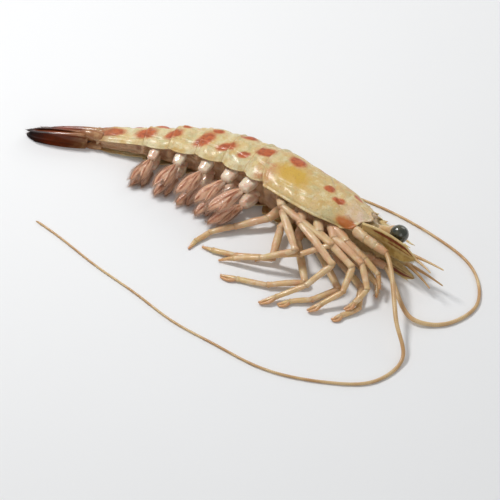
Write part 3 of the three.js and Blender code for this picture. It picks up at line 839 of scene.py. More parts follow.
def carapace(look, material):
    """The shield over head and thorax: the frame's section at each station, with its edges shifted along the axis,
    and with a keel, grooves, ridges and rims raised on it."""
    station = np.linspace(-1.4, CARAPACE + 1, 150)[:, None]
    girth = np.linspace(-1, 1, 181)[None]
    share = np.abs(girth)
    rear = np.maximum(0, 1 - np.maximum(station, 0) / 12)
    front = smooth(26, CARAPACE, station)
    grow = 1 + 0.045 * rear - 0.025 * smooth(-0.6, -1.4, station)
    s = station + rear * (-3.2 * np.sin(math.pi * share) + 4.5 * share**2) + front * front_shift(share)
    points = at(s, *flank(station, girth, grow, 1))
    a = share * CARAPACE_FLANK
    low = (1 - share) * (CARAPACE_FLANK - 1)
    keel = 0.8 * bell(a, 0.9) * smooth(4, 14, s) - 0.5 * bell(a - 2.7, 0.8) * smooth(4, 12, s)
    keel = keel + 0.28 * bell(a - 4.5, 0.9) * smooth(14, 24, s)
    grooves = sum(deep * bell(from_line(s, a, start, end), wide) for start, end, deep, wide in GROOVES)
    ridges = sum(high * bell(from_line(s, a, start, end), wide) for start, end, high, wide in RIDGES)
    rims = (0.3 * bell(station + 0.9, 0.5) - 0.18 * bell(station - 0.7, 0.7) + 0.26 * bell(low - 0.6, 0.5)
            - 0.14 * bell(low - 2, 0.6) + 0.22 * bell(station - CARAPACE - 0.5, 0.5))
    dents = look.dents / MM * (0.6 * uneven(points, 6, 3) + uneven(points, 17, 4))
    points = settle(raise_relief(points, keel - grooves + ridges + rims + 0.5 * dents))
    skin = Skin(*SHELL_FIELDS)
    rim = np.maximum(bell(station + 1.4, 0.7), 0.6 * bell(low, 0.8)) + 0.3 * grooves
    skin.grid(points, rim=rim, **shell_fields(s, girth))
    return skin.make("carapace", material, "shell", wall=look.wall / MM)


def rostrum(material):
    """A thin blade along the back: a lens-shaped section between its crest, with teeth that rise over half their
    pitch and hook forward, and its keel, which thins out to the tip."""
    start, teeth = 17.0, 8
    pitch = (ROSTRUM_TIP - 5 - start) / teeth
    s = np.linspace(start, ROSTRUM_TIP, 420)[:, None]
    phase = np.mod((s - start) / pitch - 0.3, 1)
    toothed = smooth(start + 0.2 * pitch, start + 0.35 * pitch, s) * smooth(ROSTRUM_TIP - 4.4, ROSTRUM_TIP - 5, s)
    rise = np.where(phase < 0.5, (phase / 0.5) ** 1.5, np.clip(1 - (phase - 0.5) / 0.08, 0, 1)) * toothed
    left = (ROSTRUM_TIP - s) / (ROSTRUM_TIP - start)
    top = back_height(np.minimum(s, 48)) + 0.5 - 0.11 * np.maximum(0, s - 48) + 0.3 * toothed + 1.2 * rise
    keel = np.where(s < CARAPACE, 2, 0.5 + 3.1 * np.minimum(1, left / 0.45)) * smooth(0, 0.03, left)
    keel = np.maximum(keel * smooth(0, 0.06, 1 - left), 0.06) + 0.3 * toothed + 1.2 * rise
    thick = 0.12 + 1.1 * np.minimum(1, left * 1.6)
    angle = turns(20)
    high = 0.5 + 0.5 * np.cos(angle)
    up = top - keel * (1 - high)
    side = thick * np.sin(angle) * (1 - 0.65 * high**2)
    points = at(s + 0.55 * rise * high**3, up, side)
    skin = Skin(*SHELL_FIELDS)
    skin.grid(points, closed=True, rim=0.8 * rise * high**2, **shell_fields(s, np.zeros(1)))
    hairs = np.flatnonzero((phase[:, 0] > 0.6) & (phase[:, 0] < 0.95) & (toothed[:, 0] > 0.5))[::3]
    roots = at(s[hairs, 0], top[hairs, 0], 0)
    spikes(skin, roots, roots + 1.1 * direction(50, 1, 0) + 0.7 * (at(51, 0, 0) - at(50, 0, 0)), 0.05, rim=0.7)
    return skin.make("rostrum", material, "shell")


def abdomen_plate(look, material, index):
    """One plate of the abdomen: the frame's section from its raised back rim to the front edge that slips under the
    plate before it, with a groove across, a rounded lobe on each side, and a keel on the last four, which lies
    between two hollows on the last three."""
    size = SEGMENTS[index]
    last = index == len(SEGMENTS) - 1
    start = -sum(SEGMENTS[:index])
    u = np.linspace(1, 0, round(size * 3.2) + 8)[:, None]
    girth = np.linspace(-1, 1, 151)[None]
    share = np.abs(girth)
    s = start + 1.6 * (1 - u) - u * size
    grow = 0.93 + 0.08 * u**0.6 - 0.02 * smooth(0.93, 1, u)
    lobe = np.sin(math.pi * np.clip(u, 0.04, 0.96)) ** 0.6
    skirt = 0.92 if last else 0.74 + 0.26 * lobe
    points = at(s, *flank(s, girth, grow, skirt))
    a = share * ABDOMEN_FLANK * back_height(s)
    low = (1 - share) * ABDOMEN_FLANK * back_height(s)
    behind = (1 - u) * size
    rims = 0.26 * bell(behind - 0.5, 0.42) - 0.16 * bell(behind - 1.6, 0.6) + 0.24 * bell(low - 0.5, 0.5)
    across = 0.32 * bell(behind - 0.62 * size, 0.8) * smooth(0.72, 0.5, share) - 0.2 * bell(behind - 0.3 * size, 2.2)
    hinge = 0.45 * bell(np.hypot(behind - 1.4, a - 1.74 * back_height(s)), 1.0)
    fold = 0.3 * bell(a - 1.86 * back_height(s) - 0.12 * behind, 0.8) * smooth(0, 3, behind)
    keel = KEELS[index] * bell(a, 0.75)
    keel = keel - (0.45 * keel.max() / max(KEELS) * bell(a - 2.0, 0.8) if index > 2 else 0)
    dents = look.dents / MM * (0.7 * uneven(points, 5, 20 + index) + 0.8 * uneven(points, 12, 40 + index))
    points = settle(raise_relief(points, rims - across + hinge - fold + keel + 0.6 * dents * smooth(0, 1.5, behind)))
    skin = Skin(*SHELL_FIELDS)
    rim = np.maximum(bell(behind, 0.6), 0.5 * bell(low, 0.6)) + 0.4 * bell(behind - 1.7, 0.5)
    skin.grid(points, rim=rim, **shell_fields(s, girth))
    return skin.make(f"abdomen_plate_{index + 1}", material, "shell", wall=look.wall / MM)


# The flesh's width and height under the carapace, and how far down its flanks reach, as shares of the shell's.
FLESH_SHARE, FLESH_SKIRT = 0.9, 0.86


def flesh(material):
    """The body inside the shell: the frame's section drawn in, more so towards the tail, and closed by a belly with a
    ridge at each plate's end and at each pair of legs."""
    s = np.linspace(TAIL + 1, CARAPACE + 0.5, 250)[:, None]
    girth = np.linspace(-0.97, 0.97, 70)[None]
    grow = FLESH_SHARE - 0.08 * smooth(-20, -65, s)
    over = at(s, *flank(s, girth, grow, FLESH_SKIRT / FLESH_SHARE * grow))
    w = np.linspace(0.97, -0.97, 30)[None]
    edge_up, edge_side = flank(s, np.ones((1, 1)), grow, FLESH_SKIRT)
    hips = [joints[1][0] for name, joints in LEGS.items() if name.startswith("right")]
    ends = np.array([-sum(SEGMENTS[:i]) for i in range(len(SEGMENTS) + 1)] + hips)
    near = np.min(np.abs(s[..., None] - ends), axis=-1)
    ridge = bell(near, 1.5)
    belly = edge_up * (0.72 + 0.2 * np.abs(w) ** 2.5) - 1.1 * ridge * (1 - w**4) + 0.15 * np.cos(9 * w)
    under = at(s, belly, edge_side * 0.8 * w)
    points = np.concatenate([over, under], axis=1)
    points = settle(points + 0.25 * uneven(points, 4, 60)[..., None] * direction(0, -1, 0))
    # Painted shade: darker between the ridges, in the creases beside them and towards the belly's edges.
    between = (1 - ridge) * (0.35 + 0.5 * np.abs(w)) + 0.3 * bell(near - 2.6, 0.6)
    fold = np.concatenate([np.zeros(over.shape[:2]), between], axis=1)
    skin = Skin("fold", "head")
    skin.grid(points, closed=True, fold=fold, head=0.6 * smooth(30, 44, s))
    return skin.make("flesh", material, "limbs")


# ---------------------------------------------------------------- head

def snout(material):
    """The front of the head under the rostrum: oval sections from the throat to between the eyes, uneven, with a
    swelling on each side that the stems grow from."""
    s = np.linspace(34, SNOUT_TIP, 90)[:, None]
    angle = turns(72)
    wide, high, deep = (through(*zip((34, 44, 50, 56, 60), knots))(s) for knots in
                        ((7, 6.4, 5.2, 4.2, 3.2), (8, 7, 4.6, 2.4, 1), (7.5, 7, 6.4, 5.8, 4.8)))
    round_off = round_end(SNOUT_TIP - s, 3, 0.01)
    bulge = 1 + 0.09 * bell(s - 49, 2.2) * bell(np.abs(np.sin(angle)) - 0.9, 0.5)
    bulge = bulge + 0.05 * np.cos(3 * angle) * bell(s - 54, 3)
    up = np.cos(angle) * np.where(np.cos(angle) > 0, high, deep) * round_off * bulge
    points = at(s, up, wide * np.sin(angle) * round_off * bulge)
    points = settle(points + 0.3 * uneven(points, 3, 70)[..., None] * direction(50, 0.6, 0.5))
    skin = Skin("fold", "head")
    skin.grid(points, closed=True, fold=0.4 * bell(np.mod(s, 6) - 3, 1), head=smooth(34, 46, s))
    return skin.make("snout", material, "limbs")


def eye(side, name, eye_material, stalk_material):
    """An eye, a slightly flattened ball with a flared collar, and its stalk, which swells into the ball."""
    out = 6.8 if side > 0 else 5.7
    middle = at(59.5, 2.8, side * out)
    knee = at(53, 3, side * out * 0.66)
    pole = unit(middle - knee)
    across = unit(np.cross(pole, (0, 1, 0)))
    rise = np.cross(across, pole)
    t = np.linspace(0, math.pi, 44)[:, None]
    angle = -turns(56)
    radius = EYE_RADIUS * np.sin(t) * (1 + 0.05 * bell(t - 0.75, 0.22) - 0.1 * smooth(0.6, 0.1, t))
    ball = (middle - pole * (np.cos(t) * EYE_RADIUS)[..., None] * 1.02
            + across * (radius * np.cos(angle))[..., None] + rise * (radius * np.sin(angle) * 0.97)[..., None])
    skin = Skin("collar")
    skin.grid(settle(ball[1:-1]), closed=True, collar=smooth(1.05, 0.7, t[1:-1]))
    skin.make(f"eye_{name}", eye_material, "eye")
    skin = Skin("far", "joint")
    spine = spline([at(47, 2.6, side * 2.4), at(50.5, 2.8, side * out * 0.5), knee, middle - pole * 2.2], 40)
    t = np.linspace(0, 1, 40)
    size = 1.75 - 0.15 * bell(t - 0.45, 0.2) + 1.25 * smooth(0.6, 1, t)
    skin.grid(tube(spine, size, size * 0.94, 24, (0, 1, 0)), closed=True, far=0.6,
              joint=(0.4 * bell(t - 0.5, 0.08) + smooth(0.72, 1, t))[:, None])
    return skin.make(f"eye_stalk_{name}", stalk_material, "limbs")


def both_ends(t):
    """1 at both ends of a limb's rod, where it meets its neighbours, and 0 between them."""
    return np.maximum(bell(t, 0.07), bell(t - 1, 0.06))


ANTENNULE_OUT = 2.7


def antennule(side, name, look, material, feeler_material):
    """A stem of three joints with a brush of bristles, and two short ringed feelers."""
    skin = Skin("far", "joint")
    stem = ((47, 1.6, 54.6, 1, 2.2, 2.3), (53.8, 1, 60.6, 0.4, 2.0, 2.0), (60, 0.4, 66.4, -0.2, 1.6, 1.45))
    for s0, up0, s1, up1, wide0, wide1 in stem:
        start, end = (at(s, up, side * ANTENNULE_OUT) for s, up in ((s0, up0), (s1, up1)))
        rod(skin, start, end, ((wide0, wide0 * 0.94), (wide1, wide1 * 0.92)), direction(50, 1, 0),
            fields={"joint": both_ends})
    margin = at(np.linspace(49, 65, 60), np.linspace(1.2, 0, 60), side * (ANTENNULE_OUT + np.linspace(1.9, 1.2, 60)))
    fringe(skin, margin, direction(50, 0.2, side), look.bristles / MM, 0.05, 5, lean=0.5, far=1)
    skin.make(f"antennule_{name}", material, "limbs")
    skin = Skin("groove")
    t = np.linspace(0, 1, 160)
    for rise, span in ((1.4, 18), (-0.6, 15)):
        spine = at(65 + span * t, -0.2 + 2.2 * rise * t - 2 * t**2, side * (ANTENNULE_OUT + 1.6 * t))
        ring = 0.5 + 0.5 * np.cos(2 * math.pi * t * span / 0.65)
        radius = (0.9 - 0.62 * t**0.8) * (1 + 0.06 * ring) * round_end(1 - t, 0.03, 0.05)
        skin.grid(tube(lift(spine, radius), radius, radius * 0.9, 10, (0, 0, 1)), closed=True,
                  groove=(1 - ring)[:, None])
    return skin.make(f"short_feelers_{name}", feeler_material, "feelers")


def head_blade(side, name, look, material):
    """The broad blade beside the snout: flat, with a thick outer rib that ends in a spine, a ridge along its middle
    and a fringe on its inner margin and its tip."""
    normal = direction(60, 1, -0.12 * side)
    out = 5.2 if side > 0 else 3.9
    base, tip = at(46, -3.2, side * out), at(SCALE_TIP, -3, side * (out + 0.6))
    outward = np.sign(np.dot(np.cross(tip - base, normal), direction(60, 0, side)))

    def relief(t, v):
        """An outer rib, a ridge along the middle with a hollow beside it, and fine ribs towards the inner margin."""
        x = v * outward
        return (0.75 * bell(x - 0.84, 0.13) * (1 - 0.5 * t) + 0.35 * bell(x - 0.1 + 0.2 * t, 0.1) * (1 - t)
                - 0.25 * bell(x - 0.5, 0.2) + 0.06 * np.cos(26 * x) * smooth(0.3, 0, x))

    points, t, v = blade(base, tip, 9.8, 1.0, normal, leaf_outline(0.45, 0.7, 0.2), relief, rows=80, sides=72, bow=0.5,
                         cup=0.6)
    x = v * outward
    skin = Skin("stripe", "pale")
    stripe = smooth(0.12, 0.3, t) * smooth(0.99, 0.9, t) * bell(x - 0.56 + 0.06 * t, 0.05 + 0.3 * t * (1.3 - t))
    stripe = np.maximum(stripe, 0.75 * smooth(0.3, 0.55, t) * smooth(0.97, 0.85, t) * bell(x - 0.16 + 0.1 * t, 0.07))
    pale = np.maximum(bell(x - 0.92, 0.16), 0.8 * smooth(0.4, 0.05, t)) + 0.7 * bell(x + 0.06 + 0.1 * t, 0.09)
    points = settle(points)
    skin.grid(points, closed=True, stripe=1.25 * stripe, pale=pale)
    edge = spread(points[12:, np.argmin(x[0])], 260)
    fringe(skin, edge, direction(60, 0, -side), look.bristles / MM, 0.05, 8, lean=1.2, pale=0.8)
    outer = points[62, np.argmax(x[0])]
    rod(skin, outer - (tip - base) * 0.03, outer + (tip - base) * 0.1, ((0.6, 0.5), (0.12, 0.12)), normal,
        fields={"pale": 1})
    return skin.make(f"head_blade_{name}", material, "limbs")


# The joints of a long feeler's stem, as (station, up, side), with its half width and half thickness there.
STEM = ((44, -5.4, 4.6), (50, -6, 4.6), (55, -6.2, 4.2), (60, -6.2, 3.8))
STEM_SIZES = ((2.3, 2.1), (2.25, 2.0), (1.9, 1.75), (1.45, 1.35))

# The long feelers' free points: x and y from the axis's tail end, and height.
FEELERS = {
    1: ((181, -48, 8), (188, -60, 2), (181, -74, 0.7), (163, -82, 0.6), (137, -83, 0.6), (107, -76, 0.6),
        (77, -65, 0.5), (49, -53, 0.5), (27, -44, 0.4)),
    -1: ((184, -39, 2.4), (197, -36, 0.9), (204, -22, 0.7), (197, -5, 0.7), (176, 8, 0.6), (148, 15, 0.6),
         (118, 19, 0.6), (88, 18, 0.5), (60, 13, 0.5), (38, 7, 0.4)),
}


def catmull_rom(points, count):
    """The centripetal Catmull-Rom curve through points, in `count` steps: on each span a cubic, whose end slopes come
    from differences over the square roots of the spans' lengths."""
    points = np.asarray(points, float)
    padded = np.concatenate([[2 * points[0] - points[1]], points, [2 * points[-1] - points[-2]]])
    gap = np.linalg.norm(np.diff(padded, axis=0), axis=1) ** 0.5
    position = np.linspace(0, len(points) - 1, count + 1)
    i = np.minimum(position.astype(int), len(points) - 2)
    t = (position - i)[:, None]
    p0, p1, p2, p3 = (padded[i + k] for k in range(4))
    g0, g1, g2 = (gap[i + k][:, None] for k in range(3))
    slope1 = ((p1 - p0) / g0 - (p2 - p0) / (g0 + g1) + (p2 - p1) / g1) * g1
    slope2 = ((p2 - p1) / g1 - (p3 - p1) / (g1 + g2) + (p3 - p2) / g2) * g1
    return (p1 + slope1 * t + (3 * (p2 - p1) - 2 * slope1 - slope2) * t**2
            + (2 * (p1 - p2) + slope1 + slope2) * t**3)


def long_feeler(side, name, look, stem_material, material):
    """A stem of three joints, and the long feeler that grows from it: a ringed rod that thins along its length, out in
    front of the head and back beside the body on the floor."""
    skin = Skin("far", "joint")
    places = [at(s, up, side * aside) for s, up, aside in STEM]
    for i in range(3):
        way = unit(places[i + 1] - places[i])
        rod(skin, places[i] - way * 0.7, places[i + 1] + way * 0.7, STEM_SIZES[i:i + 2], direction(50, 1, 0),
            fields={"joint": both_ends}, sides=20)
    skin.make(f"feeler_stem_{name}", stem_material, "limbs")
    free = [(x - ORIGIN[0], y - ORIGIN[1], z - SINK) for x, y, z in FEELERS[side]]
    coarse = catmull_rom([*places[-2:], *free], 34 * 6)
    reach = reach_along(coarse)
    rings = round(reach[-1] / (look.ring / MM))
    fine = np.linspace(0, reach[-1], rings * 4 + 1)
    spine = resample(coarse, reach, fine)
    spine[:, :2] += 0.35 * np.stack([np.sin(fine / 9), np.cos(fine / 7)], axis=1) * smooth(5, 40, fine)[:, None]
    t = np.interp(fine, reach, np.linspace(0, 1, len(coarse)))
    ring = 0.5 + 0.5 * np.cos(2 * math.pi * fine / reach[-1] * rings)
    radius = (0.42 + 0.78 * (1 - t) ** 2.4) * (0.96 + 0.07 * ring) * round_end(reach[-1] - fine, 2, 0.04)
    skin = Skin("groove")
    skin.grid(tube(lift(spine, radius), radius, radius, 10, (0, 0.02, 1)), closed=True,
              groove=(1 - ring)[:, None])
    return skin.make(f"long_feeler_{name}", material, "feelers")


# ---------------------------------------------------------------- legs, mouthparts and swimmerets

# Whether each walking leg ends in a pincer, and its hip, the end of its short joints, its knee, wrist, palm and tip as
# (station, up, height above the floor). The sizes are a limb's half width and half thickness at those places.
LEGS = {
    "right_1": (True, (34.5, -8, 12.5), (39.5, -12.5, 12.5), (55.5, -15, 10.5), (63.5, -21.6, 7), (62.5, -28, 4),
                (60.5, -32, 2.4)),
    "right_2": (True, (28.5, -9, 13), (33.5, -14.5, 13.5), (53.5, -18.4, 10), (56.5, -28, 6), (52.5, -36, 3),
                (49.5, -40.8, 1.4)),
    "right_3": (True, (21.5, -9.5, 13.5), (25.5, -16, 14), (47.5, -23.2, 11), (43.5, -34.4, 6), (36.5, -44, 2.6),
                (32.5, -49.6, 1.2)),
    "right_4": (False, (15.5, -9.5, 13.5), (16.5, -16, 14), (31.5, -26.4, 11), (20.5, -34.4, 6), (11.5, -39.2, 3),
                (6.5, -42.4, 1)),
    "right_5": (False, (9.5, -9, 13.5), (14.5, -14, 15), (41.5, -16.4, 13), (32.5, -24.8, 8.5), (22.5, -29.6, 4.5),
                (17.5, -33.6, 1.6)),
    "left_1": (True, (34.5, -8, 6), (39.5, -13, 5), (58.5, -19.2, 3), (64.5, -28, 2), (61.5, -34.4, 1.4),
               (59.5, -38.4, 1)),
    "left_2": (True, (28.5, -9, 6), (32.5, -15, 5), (52.5, -25.6, 3), (47.5, -36, 2), (41.5, -41.6, 1.4),
               (38.5, -45.6, 1)),
    "left_3": (True, (21.5, -9.5, 6), (24.5, -16.8, 5), (40.5, -31.2, 3), (29.5, -40.8, 2), (18.5, -45.6, 1.4),
               (12.5, -48, 1)),
    "left_4": (False, (15.5, -9.5, 6), (15.5, -16, 5), (22.5, -29.6, 3), (10.5, -36.8, 2), (0.5, -40, 1.3),
               (-5.5, -40.8, 0.8)),
    "left_5": (False, (9.5, -9, 6), (8.5, -15, 5), (-0.5, -25.6, 3), (-8.5, -33.6, 2), (-11.5, -40, 1.3),
               (-11.5, -44.8, 0.8)),
}
LEG_SIZES = ((2.2, 1.9), (1.75, 1.45), (1.4, 1.15), (1.2, 0.95), (1.15, 0.9), (0.45, 0.35))
MOUTHPARTS = {
    "right": ((36, -8, 12.8), (44, -10.5, 12), (54, -11.5, 9.6), (62, -13, 7.4), (66, -17, 5.4)),
    "left": ((36, -8, 6.6), (44, -10.5, 6), (55, -12, 4.6), (63, -14.5, 3.4), (66, -19, 2.4)),
}
MOUTHPART_SIZES = ((2.2, 1.8), (1.9, 1.6), (1.5, 1.2), (1.1, 0.9), (0.5, 0.4))


def joints_between(skin, places, sizes, seed):
    """Adds a rod between each two places of a limb, overlapping its neighbours and bowed a little. far runs from 0 at
    the hip to 1 at the tip."""
    rng = np.random.default_rng(seed)
    count = len(places) - 1
    for i in range(count):
        way = unit(places[i + 1] - places[i])
        rod(skin, places[i] - way * sizes[i][0] * 0.45, places[i + 1] + way * sizes[i + 1][0] * 0.5,
            sizes[i:i + 2], (0, 0, 1), bow=rng.uniform(-0.012, 0.03),
            fields={"far": lambda t, i=i: (i + t) / count, "joint": both_ends})


def bristle_along(skin, places, sizes, reach, count, seed):
    """Scatters bristles over the lower side of a limb, between its places."""
    rng = np.random.default_rng(seed)
    position = rng.uniform(0, len(places) - 1.001, count)
    i = position.astype(int)
    share = (position - i)[:, None]
    start, end = places[i], places[i + 1]
    thick = np.asarray(sizes)[:, 1]
    way = unit(end - start)
    out = unit(np.cross(way, rng.normal(size=(count, 3))))
    roots = start + (end - start) * share + out * (thick[i] * 0.85)[:, None]
    tips = roots + unit(out + 0.9 * way) * reach * rng.uniform(0.5, 1, (count, 1))
    above = (roots[:, 2] > 0.2) & (tips[:, 2] > 0.2)
    spikes(skin, roots[above], tips[above], 0.045, far=1, joint=0.3)


def leg(name, look, material):
    """A walking leg of five joints. A pincer's second finger is a thin rod beside the last joint."""
    pincer, *joints = LEGS[name]
    places = np.array([on_floor(*joint) for joint in joints])
    seed = sorted(LEGS).index(name)
    skin = Skin("far", "joint")
    joints_between(skin, places, LEG_SIZES, seed)
    if pincer:
        palm, tip = places[-2:]
        out = tip - palm
        beside = unit(np.array([-out[1], out[0], 0])) * 1.5
        spine = spline([palm, palm + 0.45 * out + beside, tip + 0.56 * beside], 26)
        t = np.linspace(0, 1, 26)
        radius = (0.95 - 0.6 * t) * round_end(1 - t, 0.1, 0.04)
        skin.grid(tube(lift(spine, radius * 0.9), radius, radius * 0.9, 12, (0, 0, 1)), closed=True, far=1)
    bristle_along(skin, places, LEG_SIZES, look.bristles / MM, 120, seed + 50)
    return skin.make(f"leg_{name}", material, "limbs")


def mouthpart(name, look, material):
    """A leg-like mouthpart of four joints with a brush of bristles."""
    places = np.array([on_floor(*joint) for joint in MOUTHPARTS[name]])
    skin = Skin("far", "joint")
    joints_between(skin, places, MOUTHPART_SIZES, 31)
    bristle_along(skin, places[1:], MOUTHPART_SIZES[1:], look.bristles / MM * 1.4, 420, 32)
    return skin.make(f"mouthpart_{name}", material, "limbs")


def leaf_rings(t, v):
    """The rings across a swimmeret's blade, between -1 and 1, by the share along it and over it."""
    return np.cos(84 * t - 6 * np.abs(v))


def leaf_relief(t, v):
    """Relief of a swimmeret's blade in mm: a rib along its middle with a groove on each side, and its rings."""
    rings = 0.05 * leaf_rings(t, v) * smooth(0.1, 0.3, t)
    return 0.3 * bell(v, 0.1) * (1 - 0.7 * t) - 0.12 * bell(np.abs(v) - 0.3, 0.14) + rings * (1 - v * v)


def swimmeret(index, side, name, look, material):
    """A stout, faceted paddle under the belly, and two soft, fringed blades that trail from it. down runs from 0 at
    the paddle's root to 1 at the blades' tips."""
    s = -sum(SEGMENTS[:index]) - SEGMENTS[index] * 0.45
    size = 1 - 0.07 * index
    hip = belly_depth(s) * 0.55
    height = axis_height(s) + side * half_width(s) * 0.46
    fall = 5.5 if side > 0 else 3

    def hang(back, down):
        """The place that far behind the hip and below it. Lower places lie nearer to the floor."""
        return on_floor(s + back * size, -hip - down * size, np.maximum(1.4, height - fall * np.minimum(down / 30, 1)))

    spine = spline([hang(0, 0), hang(-0.4, 3.4), hang(-0.9, 7), hang(-1.4, 10)], 40)
    t = np.linspace(0, 1, 40)
    round_off = round_end(1 - t, 0.12, 0.01)
    wide = through((0, 2.0), (0.3, 2.75), (0.65, 2.8), (1, 1.9))(t) * size * round_off
    thick = through((0, 1.5), (0.35, 2.05), (0.7, 1.9), (1, 1.2))(t) * size * round_off
    points = tube(lift(spine, thick * 0.95), wide, thick, 28, (0, 0, 1))
    angle = turns(28)
    down = t[:, None]
    ridge = (0.14 * bell(np.abs(np.sin(angle)) - 0.6, 0.22) + 0.12 * bell(down - 0.85, 0.08)
             - 0.3 * bell(np.sin(angle + 0.5 * down), 0.2) * smooth(0.1, 0.4, down)
             - 0.2 * bell(down - 0.28 - 0.1 * np.cos(angle), 0.06))
    points = points + (points - points.mean(axis=1, keepdims=True)) * ridge[..., None]
    points = points + 0.12 * uneven(points, 2.2, 80 + index)[..., None] * direction(0, 0.5, 1)
    skin = Skin("down", "vein", "margin")
    skin.grid(settle(points), closed=True, down=0.08 + 0.24 * down**3,
              vein=np.clip(-2.6 * ridge, 0, 0.8) + 0.5 * smooth(0.8, 1, down) + 0.5 * smooth(0.2, 0, down))
    foot = spine[-1] * 0.8 + spine[-12] * 0.2
    for number, (tip, width) in enumerate(((hang(-9, 24), 5.2), (hang(-3, 22.5), 4.2))):
        seed = 90 + index * 4 + number * 2 + (side > 0)
        curl = np.random.default_rng(seed).uniform(-0.5, 0.9, 2)
        leaf, along, v = blade(foot, tip, width * size, 0.7, np.array([0, 0, 1.0]), leaf_outline(0.6, 0.4, 0.25),
                               leaf_relief, rows=100, sides=48, bow=1.1, cup=0.5 + curl[0])
        leaf = settle(leaf + (0.2 * uneven(leaf, 6, seed) + curl[1] * v * along)[..., None] * direction(0, 0, 1))
        sheet = np.stack(np.broadcast_arrays(5 * along, 3.2 * v, 0), axis=-1)
        rings = 0.5 + 0.5 * leaf_rings(along, v)
        vein = 0.35 + 0.3 * uneven(sheet, 1.6, seed) + 0.5 * bell(v, 0.12) - 0.2 * np.abs(v) + 0.15 * rings
        skin.grid(leaf, closed=True, down=0.42 + 0.58 * along, vein=vein, margin=smooth(0.7, 1, np.abs(v)))
        for edge_side, column in ((1, np.argmax(v[0])), (-1, np.argmin(v[0]))):
            edge = spread(leaf[8:, column], 230)
            outward = edge_side * unit(np.cross(unit(tip - foot), (0, 0, 1)))
            fringe(skin, edge, outward, look.bristles / MM, 0.035, seed + 40, lean=1.3, down=0.7, vein=0.3)
    return skin.make(f"swimmeret_{name}_{index + 1}", material, "limbs")


# ---------------------------------------------------------------- tail fan

def telson(look, material):
    """The fan's pointed middle plate: an oval section with a groove along its back between two ridges, two short
    spines on each side and a sharp tip."""
    back = np.linspace(-3, TELSON - 0.1, 130)
    s = TAIL - back
    wide = through((-3, 3.5), (3, 3.6), (10, 3), (17, 1.9), (TELSON, 0.25))(back)
    thick = through((-3, 2.6), (3, 2.3), (10, 1.9), (17, 1.4), (TELSON, 0.3))(back)
    spine = at(s, 1.6 - 0.02 * back, 0)
    up = direction(TAIL, 1, 0)
    points = tube(spine, wide, thick, 48, up)
    angle = -turns(48)
    top = np.maximum(np.sin(angle), 0) * smooth(-2, 2, back)[:, None]
    dip = -0.55 * bell(np.cos(angle), 0.16) + 0.3 * bell(np.abs(np.cos(angle)) - 0.36, 0.13)
    points = settle(points + (dip * top * smooth(TELSON, 14, back)[:, None])[..., None] * up)
    skin = Skin("along", "rib", "margin")
    skin.grid(points, closed=True, along=smooth(-8, TELSON + 4, back)[:, None],
              rib=top * bell(np.abs(np.cos(angle)) - 0.36, 0.15))
    for share, side in ((0.6, 1), (0.6, -1), (0.78, 1), (0.78, -1)):
        k = int(share * 129)
        root = spine[k] + direction(TAIL, 0.1, side) * wide[k] * 0.8
        rod(skin, root, root + (spine[-1] - spine[k]) * 0.16 + direction(TAIL, 0, side) * 0.5,
            ((0.32, 0.28), (0.08, 0.08)), up, rows=10, sides=8, fields={"along": 0.8})
    fringe(skin, points[40:-6, 0], direction(TAIL, 0, -1), look.bristles / MM * 0.6, 0.045, 14, lean=1.6, along=0.85)
    return skin.make("telson", material, "tail_fan")


# The fan's blades on one side: their base and tip as (station behind the tail end, up, side), the angle that their
# upper face turns outwards, their width, the height of their outer rib, and whether their outer margin is bare.
UROPOD_BLADES = (
    {"base": (-3.5, -2, 3.3), "tip": (-UROPOD, -1.4, 1.2), "turn": math.radians(58), "width": 7.6, "rib": 0.5,
     "bare": True},
    {"base": (-3.5, -0.8, 2.3), "tip": (2 - UROPOD, -0.3, 0.8), "turn": math.radians(32), "width": 6.6, "rib": 0.2,
     "bare": False},
)


